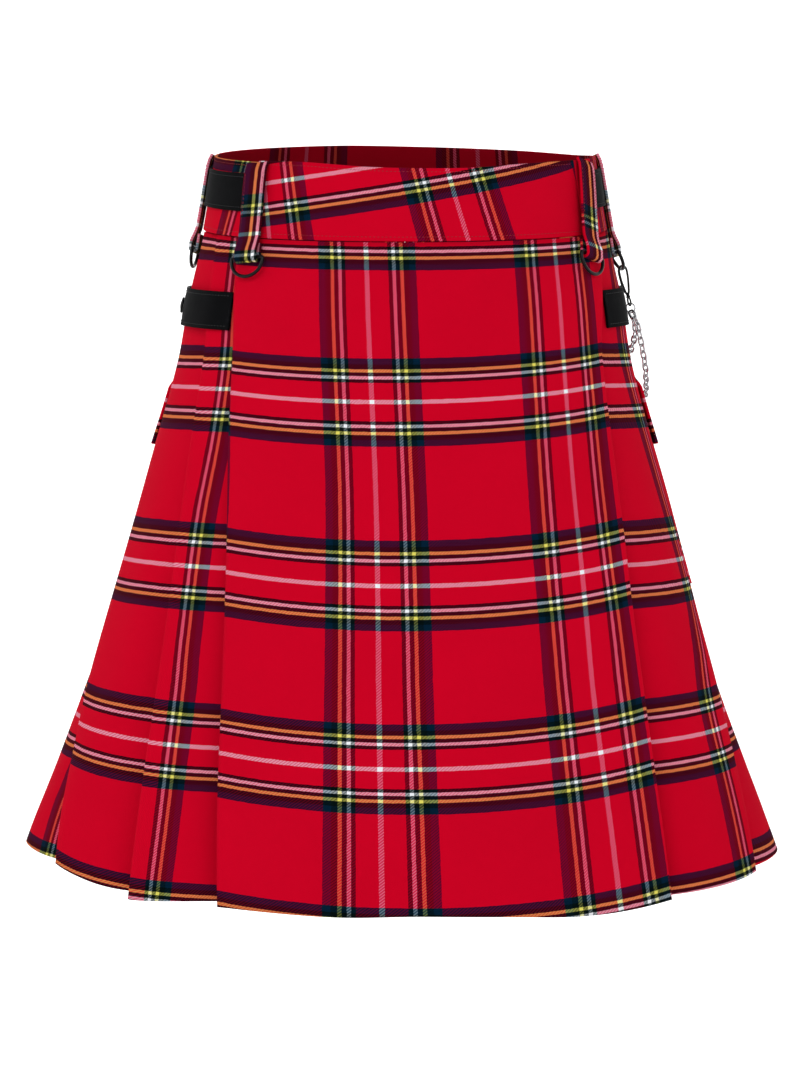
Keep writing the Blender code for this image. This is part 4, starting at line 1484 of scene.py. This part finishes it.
@dataclass
class SnapHook:
    """Swivel snap hook hung from a loop's D-ring, with the split ring in its eye."""

    name: str
    loop: BeltLoop
    lean: float
    barrel_start: float = 0.0240
    barrel_end: float = 0.0285
    knob_down: float = 0.0175
    eye_half_width: float = 0.0026
    eye_half_height: float = 0.0036
    eye_turn: float = 50.0
    chains_apart: float = 0.0042

    def __post_init__(self) -> None:
        """Line on which the hook hangs, its eye and its split ring."""
        self.down, self.out = self.loop.leaning(self.lean), self.loop.leaning(self.lean + 90)
        lowest = self.loop.bar() + self.loop.leaning(self.loop.ring_tilt) * RING_HEIGHT
        self.top = lowest - self.down * (RING_WIRE + HOOK_WIRE + GAP)
        self.eye_middle = self.point(self.barrel_end + self.eye_half_height - EYE_WIRE / 2)
        drop = self.eye_half_height + SPLIT_RING_RADIUS - 2 * EYE_WIRE - GAP
        self.ring_middle = self.eye_middle + self.down * drop

    def point(self, along: float, out: float = 0.0) -> Vector:
        """Point at a distance down the hook and out from its middle line."""
        return self.top + self.down * along + self.out * out

    def build(self) -> None:
        """Bow, swivel barrel, spring lever, gate and eye as one piece."""
        turned = math.radians(self.eye_turn)
        wide = self.out * math.cos(turned) + self.loop.across * math.sin(turned)
        bow = [self.point(*spot) for spot in BOW] + [self.point(along, -half) for along, half in BOW[:0:-1]]
        gate = [self.point(along, -half) for along, half in GATE]
        eye = oval(self.eye_middle, wide * self.eye_half_width, self.down * self.eye_half_height, 32)
        meshes = [tube_mesh("bow", rounded(bow, 2, closed=True), HOOK_WIRE, closed=True),
                  spun("barrel", BARREL, self.down, self.point(self.barrel_start), 20),
                  spun("knob", KNOB, -self.out, self.point(self.knob_down, -0.0024), 20),
                  tube_mesh("gate", rounded(gate, 2, closed=False), 0.0012, closed=False),
                  tube_mesh("eye", eye, EYE_WIRE, closed=True)]
        name = "snap_hook_" + self.name
        finish_piece(name, join_meshes(name, meshes), FINISHES.black_metal,
                     replaces=["hook_" + self.name])

    def split_ring(self) -> None:
        """Split ring: two turns of flat wire, one on the other."""
        turned, steps, thickness = math.radians(self.eye_turn), 72, 0.0011
        crossing = self.loop.across * math.cos(turned) - self.out * math.sin(turned)
        normal = crossing.cross(self.down).normalized()
        points = []
        for k in range(steps + 1):
            around = math.tau * 2 * k / steps + 0.6
            points.append(self.ring_middle + crossing * SPLIT_RING_RADIUS * math.cos(around)
                          + self.down * SPLIT_RING_RADIUS * math.sin(around)
                          + normal * (k / steps - 0.5) * thickness)
        name = "key_ring_" + self.name
        mesh = tube_mesh(name, points, 0.00052, closed=False, sides=8)
        finish_piece(name, mesh, FINISHES.steel, replaces=["split_ring_" + self.name])

    def chain_end(self, sign: int) -> Vector:
        """Point under the split ring where a strand starts."""
        lowest = self.ring_middle + self.down * (SPLIT_RING_RADIUS + EYE_WIRE + GAP)
        return lowest + self.loop.across * (sign * self.chains_apart / 2)


# ---------------------------------------------------------------- wallet chain
@dataclass
class ChainStrand:
    """Strand of interlocked steel links between two split rings."""

    name: str
    first: Vector
    last: Vector
    knots: tuple[tuple[float, float, float], ...]    # degrees round the body, height and distance outwards
    pitch: float = 0.0062
    wire: float = 0.00085
    half_width: float = 0.00245
    hooked: float = 0.0026         # the strand starts this far inside its split ring

    def route(self) -> Route:
        """Finely spaced points along the strand.

        Returns:
            The route between the split rings.
        """
        places = [self.first] + [WORN.at(math.radians(angle), height, out)
                                 for angle, height, out in self.knots] + [self.last]
        for end, inside in ((0, 1), (-1, -2)):
            places[end] = places[end] + (places[end] - places[inside]).normalized() * self.hooked
        fine: Line = []
        for number, (start, end) in enumerate(zip(places, places[1:])):
            before, after = places[max(number - 1, 0)], places[min(number + 2, len(places) - 1)]
            fine += [cubic(share, start, end, (end - before) / 2, (after - start) / 2)
                     for share in np.linspace(0.0, 1.0, 40, endpoint=False)]
        return Route(fine + [places[-1]])

    def link(self, half_length: float) -> Mesh:
        """One oval link along x, half_length from its middle to its wire's centre.

        Args:
            half_length: from the link's middle to its wire's centre.

        Returns:
            The link's mesh.
        """
        bm = bmesh.new()
        ring = bmesh.ops.create_circle(bm, segments=6, radius=self.wire)["verts"]
        bmesh.ops.rotate(bm, verts=ring, cent=(0, 0, 0), matrix=Matrix.Rotation(math.pi / 2, 3, "X"))
        bmesh.ops.translate(bm, verts=ring, vec=(self.half_width, 0, 0))
        bmesh.ops.spin(bm, geom=list(ring) + list(bm.edges), axis=(0, 0, 1), cent=(0, 0, 0), angle=math.tau,
                       steps=16, use_merge=True)
        stretch, bend = half_length - self.half_width, 0.0010
        for vert in bm.verts:
            pull = math.copysign(stretch, vert.co.y) * min(abs(vert.co.y) / bend, 1.0)
            vert.co = Vector((vert.co.y + pull, -vert.co.x, vert.co.z))
        return new_mesh("link", bm)

    def build(self) -> None:
        """The strand, each link turned a quarter from the one before."""
        route = self.route()
        total = route.lengths[-1] - self.pitch
        count = max(2, round(total / self.pitch))
        pitch = total / count
        link = self.link(pitch / 2 + self.wire)
        links = []
        for number in range(count + 1):
            index, middle = route.at(pitch / 2 + pitch * number)
            ahead = (route.points[min(index + 3, len(route.points) - 1)]
                     - route.points[max(index - 2, 0)]).normalized()
            outward = Vector((middle.x, middle.y, 0.0)).normalized()
            normal = (outward - ahead * outward.dot(ahead)).normalized()
            roll = math.radians(45 if number % 2 else -45)
            across = normal * math.cos(roll) + ahead.cross(normal) * math.sin(roll)
            place = Matrix((ahead, across.cross(ahead).normalized(), across)).transposed().to_4x4()
            place.translation = middle
            links.append(link.copy())
            links[-1].transform(place)
        bpy.data.meshes.remove(link)
        name = "wallet_" + self.name
        finish_piece(name, join_meshes(name, links), FINISHES.steel, replaces=[self.name],
                     sharp=70)


# ---------------------------------------------------------------- leather straps and studs
STUD = ((0.0, 0.0), (0.0, 0.0064), (0.0004, 0.0069), (0.0011, 0.0069), (0.0016, 0.0065), (0.0017, 0.0060),
        (0.0013, 0.0056), (0.0013, 0.0051), (0.0018, 0.0045), (0.0022, 0.0034), (0.0025, 0.0018),
        (0.0026, 0.0))
SEWN_AT = 0.8                  # share of the half width at which a strap is sewn


@dataclass
class StuddedStrap:
    """Leather strap along the body with a rounded tip and a snap stud."""

    name: str
    start: float
    end: float
    stud_angle: float
    side: Side | None = None       # of a lower strap, which steps over the apron's edge
    sunk: float = 0.0              # a lower strap starts this far in
    width: float = 0.0320

    @property
    def gap(self) -> float:
        """Clearance of the strap from the cloth."""
        return 0.0010 if self.side else 0.0006

    def middle(self, angle: float) -> float:
        """Height of the strap's middle."""
        if self.side:
            return -0.0961 - 0.0170 * math.cos(angle)
        return float(WORN.band_height(np.array(angle), 0.5)) + 0.0055

    def inner_face(self, angle: float) -> float:
        """Distance outwards of the strap's inner face.

        Args:
            angle: radians round the body from the front centre.

        Returns:
            The distance.
        """
        if not self.side:
            return self.gap
        edge, fold = (at_station(seen, 0.065) for seen in PLAN.folds[self.side][0][:2])
        share = (abs(math.degrees(angle)) - edge) / (fold - edge)
        return self.sunk + (self.gap - self.sunk) * float(smoothstep(np.array(share)))

    def outline(self) -> list[tuple[float, float]]:
        """Angle and share of the full width at each column, to the rounded tip.

        Returns:
            An angle and a share for each column.
        """
        start, end = math.radians(self.start), math.radians(self.end)
        tip = math.copysign(WORN.turn(0.012, end, self.middle(end)), end)
        places = [(float(angle), 1.0) for angle in np.linspace(start, end - tip, 44)]
        return places + [(end - tip * (1 - share), 0.26 + 0.74 * math.sqrt(1 - share ** 2.4))
                         for share in (0.12, 0.25, 0.38, 0.5, 0.62, 0.73, 0.83, 0.91, 0.97, 1.0)]

    def strap(self) -> None:
        """The strap's body with burnished edges."""
        shares = np.array([1, 0.93, SEWN_AT, 0.5, 0.2, -0.2, -0.5, -SEWN_AT, -0.93, -1])
        dip = np.where(np.abs(shares) == SEWN_AT, -0.0003, 0.0)
        points = np.stack([WORN.point(angle, self.middle(angle) + self.width / 2 * width * shares,
                                      self.inner_face(angle) + LEATHER / 2 + dip)
                           for angle, width in self.outline()], axis=1)
        name = "leather_strap_" + self.name
        mesh = ClothGrid(points, np.zeros((*points.shape[:2], 2))).mesh(name)
        piece = finish_piece(name, mesh, FINISHES.leather, replaces=["strap_" + self.name])
        give_wall(piece, LEATHER, 0.0006)

    def seam_lines(self) -> list[Line]:
        """Sewing lines along both edges of the strap."""
        return [[WORN.at(angle, self.middle(angle) + self.width / 2 * width * edge,
                         self.inner_face(angle) + LEATHER + ON_TOP)
                 for angle, width in self.outline()[1:-4]] for edge in (SEWN_AT, -SEWN_AT)]

    def stud(self) -> None:
        """Snap stud: rolled rim round a domed cap."""
        angle = math.radians(self.stud_angle)
        out, height = self.gap + LEATHER + GAP, self.middle(angle)
        foot = WORN.at(angle, height, out)
        normal = (WORN.at(angle, height, out + 0.01) - foot).normalized()
        slope = (WORN.at(angle, height + 0.01, out) - WORN.at(angle, height - 0.01, out)).normalized()
        normal = (normal - slope * normal.dot(slope)).normalized()
        name = "snap_stud_" + self.name
        finish_piece(name, spun(name, STUD, normal, foot, 40), FINISHES.black_metal,
                     replaces=["stud_" + self.name], sharp=50)


# ---------------------------------------------------------------- cargo pockets
@dataclass
class CargoPocket:
    """Open-topped pouch that stands off the pleats, with a flap over its mouth."""

    side: Side
    front: float
    depths: tuple[float, ...]
    width: float = 0.150
    top: float = -0.1680
    bottom: float = -0.3360
    gap: float = 0.0011
    flap_width: float = 0.156
    flap_top: float = -0.1560
    flap_bottom: float = -0.2150
    steps: int = 30
    levels: int = 30
    across_place: float = 0.30     # place in the tartan at the pouch's front top corner
    across_repeat: float = 0.1580
    down_place: float = 0.94

    def __post_init__(self) -> None:
        """Sizes of the flap, and what the sheets rest on."""
        self.lead = (self.flap_width - self.width) / 2
        self.span = self.flap_top - self.flap_bottom
        self.hold = {"held": "hung", "rests_on": ["knife_pleats_" + self.side.word]}

    def on_side(self, across: float, height: float, out: float) -> Vector:
        """Point at a distance behind the pocket's front edge."""
        front = math.radians(self.front)
        return WORN.at(self.side.value * (front + WORN.turn(across, front + 0.35, height)), height, out)

    def weave(self, across: Array, height: Array) -> Array:
        """Tartan's place across and down."""
        across, height = np.broadcast_arrays(across, height)
        return np.stack([self.side.value * (self.across_place - across / self.across_repeat),
                         (self.top - height) / REPEAT + self.down_place], axis=-1)

    def pouch(self) -> None:
        """The pouch as a sheet of cloth, closed at its bottom."""
        heights = np.linspace(self.top, self.bottom, self.levels)
        depths = through((0.0, 0.25, 0.5, 0.75, 1.0), self.depths, np.linspace(0.0, 1.0, self.levels))
        back, bulge, inset = self.gap + CLOTH / 2, 0.0004, 0.003
        inner = [self.width * k / self.steps for k in range(self.steps + 1)]
        outer = [self.width - inset] + inner[-2:0:-1] + [inset]
        across = inner + [self.width + bulge, self.width] + outer + [0.0, -bulge, 0.0]
        shares = [0.0] * len(inner) + [0.35, 0.7] + [1.0] * len(outer) + [0.7, 0.35, 0.0]
        points = np.array([[self.on_side(place, float(height), float(back + depth * share))
                            for place, share in zip(across, shares)]
                           for height, depth in zip(heights, depths)])
        name = "cargo_pocket_" + self.side.word
        bm = welded(ClothGrid(points, self.weave(np.array(across), heights[:, None])).mesh(name))
        lowest = min(vert.co.z for vert in bm.verts)
        rim = [edge for edge in bm.edges
               if edge.is_boundary and max(vert.co.z for vert in edge.verts) < lowest + 0.004]
        bmesh.ops.holes_fill(bm, edges=rim, sides=0)
        bmesh.ops.triangulate(bm, faces=[face for face in bm.faces if len(face.verts) > 4])
        mesh = new_mesh(name, bm)
        cloth_piece(name, mesh, "pocket_" + self.side.word, flat=(0.360, 0.190),
                    area=round(sum(face.area for face in mesh.polygons), 4), **self.hold)

    def flap_out(self, share: Array) -> Array:
        """How far the flap's middle stands off the pleats, from its top edge to its bottom edge.

        Args:
            share: share of the flap's height, from its top edge.

        Returns:
            Distances outwards.
        """
        base = self.gap + BAND_CLOTH / 2
        over = self.gap + self.depths[0] + CLOTH + GAP + BAND_CLOTH / 2
        fuller = self.depths[1] - self.depths[0]
        return np.interp(share, (0.0, 0.04, 0.11, 0.17, 0.6, 1.0),
                         (base, base + 0.0004, over - 0.0010, over + 0.0004, over + 0.0004 + 0.6 * fuller,
                          over + 0.0006 + 1.2 * fuller))

    def on_flap(self, across: float, share: float, out: float = 0.0) -> Vector:
        """Point on the flap's middle or out from it."""
        return self.on_side(float(across), self.flap_top - self.span * float(share),
                            float(self.flap_out(share)) + out)

    def seam_lines(self) -> list[Line]:
        """Lines of sewing inside the flap's edges: down one side, along the bottom, up and back.

        Returns:
            Four lines of points.
        """
        inset, high = 0.0030, 0.05
        left, right, low = inset - self.lead, self.flap_width - self.lead - inset, 1 - inset / self.span
        corners = ((left, high, left, low, 24), (left, low, right, low, 40), (right, low, right, high, 24),
                   (left, high, right, high, 40))
        return [[self.on_flap(across, share, BAND_CLOTH / 2)
                 for across, share in zip(np.linspace(x0, x1, count), np.linspace(y0, y1, count))]
                for x0, y0, x1, y1, count in corners]

    def flap(self) -> None:
        """Doubled flap sewn above the pocket."""
        shares = np.concatenate([np.linspace(0.0, 0.2, 9), np.linspace(0.25, 1.0, 12)])
        across = -self.lead + self.flap_width * np.linspace(0.0, 1.0, 33)
        points = np.array([[self.on_flap(place, share) for place in across] for share in shares])
        weave = self.weave(across, self.flap_top - self.span * shares[:, None])
        name = "pocket_flap_" + self.side.word
        cloth_piece(name, ClothGrid(points, weave).mesh(name), "flap_" + self.side.word, BAND_CLOTH, 0.0007,
                    **cut_of(points), **self.hold)


# ---------------------------------------------------------------- studio
@dataclass
class Studio:
    """Pale floor that curves up into walls, soft lights and the camera."""

    floor: float = -1.02
    radius: float = 5.5
    corner: float = 1.6
    wall: float = 3.6
    glow: float = 0.22             # light that the backdrop gives to the kilt
    seen_glow: float = 0.9
    look_at: tuple[float, float, float] = (0.0, 0.0, -0.3)
    camera_at: tuple[float, float, float] = (-0.0043, -3.155, -0.2931)
    lens: float = 123.42
    sensor: float = 36.0
    sky: float = 0.35
    # name, place, size and power of each light
    lights: tuple[tuple[str, tuple[float, float, float], float, float], ...] = (
        ("key", (-1.5, -3.5, 1.9), 1.8, 42.0), ("fill", (1.9, -3.4, 0.5), 2.2, 14.0),
        ("left_side", (-3.6, 0.8, 0.5), 2.0, 16.0), ("right_side", (3.6, 0.8, 0.5), 2.0, 8.0),
        ("back", (0.0, 3.6, 1.4), 2.4, 26.0))

    def put(self, name: str, data: bpy.types.ID, place: Sequence[float] = (0.0, 0.0, 0.0)) -> Piece:
        """Object in the scene.

        Args:
            name: name of the object.
            data: its mesh, camera or light.
            place: where it stands.

        Returns:
            The object.
        """
        thing = bpy.data.objects.new(name, data)
        thing.location = place
        bpy.context.scene.collection.objects.link(thing)
        return thing

    def looks(self, graph: Graph, _: Socket) -> dict[str, object]:
        """Inputs of the backdrop's shader.

        Args:
            graph: the material's graph.
            _: its Object coordinates, which aren't used.

        Returns:
            Values or sockets by the shader's input names.
        """
        seen = graph.add("LightPath").outputs["Is Camera Ray"]
        glow = graph.plus(self.glow, graph.times(seen, self.seen_glow - self.glow))
        return {"Base_Color": (0.80, 0.80, 0.80, 1), "Roughness": 0.95, "Specular_IOR_Level": 0.0,
                "Emission_Color": (1.0, 1.0, 1.0, 1), "Emission_Strength": glow}

    def backdrop(self) -> None:
        """Round floor whose edge curves up, seen from every side."""
        profile = [(self.floor, radius) for radius in (0.0, 1.0, 2.4)]
        for k in range(13):
            around = math.pi / 2 * k / 12
            profile.append((self.floor + self.corner - self.corner * math.cos(around),
                            self.radius - self.corner + self.corner * math.sin(around)))
        profile.append((self.wall, self.radius))
        mesh = spun("floor", profile, Vector((0, 0, 1)), Vector(), 96, 0.0001)
        mesh.shade_smooth()
        mesh.materials.append(surface("pale_backdrop", self.looks))
        self.put("floor", mesh)

    def build(self) -> None:
        """Everything that isn't part of the kilt."""
        data = bpy.data.cameras.new("camera")
        data.sensor_width = self.sensor
        data.lens = self.lens
        camera = self.put("camera", data, self.camera_at)
        camera.rotation_euler = (math.pi / 2, 0, 0)
        scene = bpy.context.scene
        scene.camera = camera
        self.backdrop()
        for name, place, size, power in self.lights:
            data = bpy.data.lights.new(name, "AREA")
            data.shape = "SQUARE"
            data.size = size
            data.energy = power
            lamp = self.put(name, data, place)
            lamp.rotation_euler = (Vector(self.look_at) - Vector(place)).to_track_quat("-Z", "Y").to_euler()
            lamp.visible_camera = False
        scene.world = bpy.data.worlds.new("sky")
        scene.world.use_nodes = True
        background = scene.world.node_tree.nodes["Background"]
        background.inputs["Color"].default_value = (1.0, 1.0, 1.0, 1)
        background.inputs["Strength"].default_value = self.sky
        scene.view_settings.view_transform = "Standard"


# ---------------------------------------------------------------- the kilt
LEFT_GUIDES = (
    Guide(0.135, 0.1625, 0.0010, (-0.570, -0.529, -0.423, -0.382, -0.278, -0.207, -0.080),
          (38.8, 40.0, 43.4, 45.1, 48.5, 49.6, 54.3), behind=0.380),
    Guide(0.262, 0.2400, -0.0030),
    Guide(-0.174, 0.1625, -0.0040, (-0.565, -0.520, -0.484, -0.458, -0.435, -0.395, -0.300, -0.080),
          (70.2, 73.8, 74.8, 76.4, 80.0, 86.0, 90.0, 90.0)),
    Guide(0.262, 0.1900, 0.0),
)
RIGHT_GUIDES = (
    Guide(-0.135, 0.1625, -0.0045, (-0.5715, -0.5015, -0.427, -0.385, -0.316, -0.184),
          (63.1, 67.5, 72.0, 77.0, 83.0, 80.0)),
    Guide(-0.262, 0.1900, 0.0015),
)
SHORT_CHAIN = ((98.4, -0.1120, 0.0125), (101.5, -0.1250, 0.0120), (109, -0.1390, 0.0110),
               (121, -0.1440, 0.0110), (134, -0.1340, 0.0110), (144.5, -0.1110, 0.0120),
               (149.3, -0.0910, 0.0145))
LONG_CHAIN = ((95.7, -0.1120, 0.0125), (96.2, -0.1320, 0.0145), (100.5, -0.1550, 0.0165),
              (110, -0.1740, 0.0215), (122, -0.1790, 0.0225), (134, -0.1680, 0.0190),
              (143, -0.1480, 0.0130), (150.0, -0.1200, 0.0125), (152.4, -0.0910, 0.0145))


def build_cloth() -> None:
    """Waistband, aprons, pleats and pockets, with their sewing."""
    sewing: list[Line] = []
    for band in (Yoke(), Wrap()):
        band.build()
        sewing += [band.seam_line(share) for share in (0.05, 0.94)]
    FrontApron().build()
    UnderApron().build()
    PleatedSide(Side.LEFT, False, LEFT_GUIDES).build()
    PleatedSide(Side.RIGHT, True, RIGHT_GUIDES).build()
    for pocket in (CargoPocket(Side.LEFT, 100.5, (0.0024, 0.0036, 0.0036, 0.0028, 0.0024)),
                   CargoPocket(Side.RIGHT, 98.0, (0.0024, 0.0036, 0.0050, 0.0055, 0.0058))):
        pocket.pouch()
        pocket.flap()
        sewing += pocket.seam_lines()
    stitch("cloth_stitches", sewing, FINISHES.red_thread)


def build_loops() -> dict[str, BeltLoop]:
    """Belt loops and their D-rings, by name.

    Returns:
        The loops.
    """
    loops = (
        BeltLoop("front_left", -47.3, -45.5, 0.0179, 0.0, "ring_front_left"),
        BeltLoop("front_right", 65.5, 58.5, 0.0179, 0.0, "ring_front_right", low_place=0.052,
                 repeat=0.1475, across_start=-0.252, across_repeat=0.180),
        BeltLoop("side_left", -95.0, -95.0, 0.0184, 0.0, "ring_side_left", across_start=-0.262),
        BeltLoop("side_right", 97.0, 97.0, 0.0224, 18.0, "kilt", across_start=0.135),
        BeltLoop("back_left", -150.0, -150.0, 0.0179, 0.0, "ring_back_left", lower=0.0032),
        BeltLoop("back_right", 150.0, 150.0, 0.0179, 20.0, "kilt", lower=0.0032),
    )
    for loop in loops:
        loop.strip()
        loop.ring()
    stitch("loop_stitches", [line for loop in loops for line in loop.seam_lines()], FINISHES.red_thread)
    return {loop.name: loop for loop in loops}


def build_chain(loops: dict[str, BeltLoop]) -> None:
    """Snap hooks, split rings and both strands of the chain.

    Args:
        loops: belt loops by name.
    """
    side = SnapHook("side", loops["side_right"], 3.0)
    back = SnapHook("back", loops["back_right"], 9.0)
    for hook in (side, back):
        hook.build()
        hook.split_ring()
    for name, sign, knots in (("chain_short", 1, SHORT_CHAIN), ("chain_long", -1, LONG_CHAIN)):
        ChainStrand(name, side.chain_end(sign), back.chain_end(-sign), knots).build()


def build_straps() -> None:
    """Straps, their studs and their sewing."""
    straps = (
        StuddedStrap("left_upper", -47.5, -116.0, -107.0),
        StuddedStrap("right_upper", 62.5, 118.0, 109.5),
        StuddedStrap("left_lower", -51.0, -101.0, -90.0, Side.LEFT, -0.0030),
        StuddedStrap("right_lower", 66.0, 112.0, 102.0, Side.RIGHT, -0.0044),
    )
    for strap in straps:
        strap.strap()
        strap.stud()
    stitch("strap_stitches", [line for strap in straps for line in strap.seam_lines()],
           FINISHES.black_thread)


def main() -> None:
    """Build the kilt and the studio, and report each piece."""
    logging.basicConfig(level=logging.INFO, format="%(name)s: %(message)s")
    Studio().build()
    build_cloth()
    build_chain(build_loops())
    build_straps()


if __name__ == "__main__":
    main()
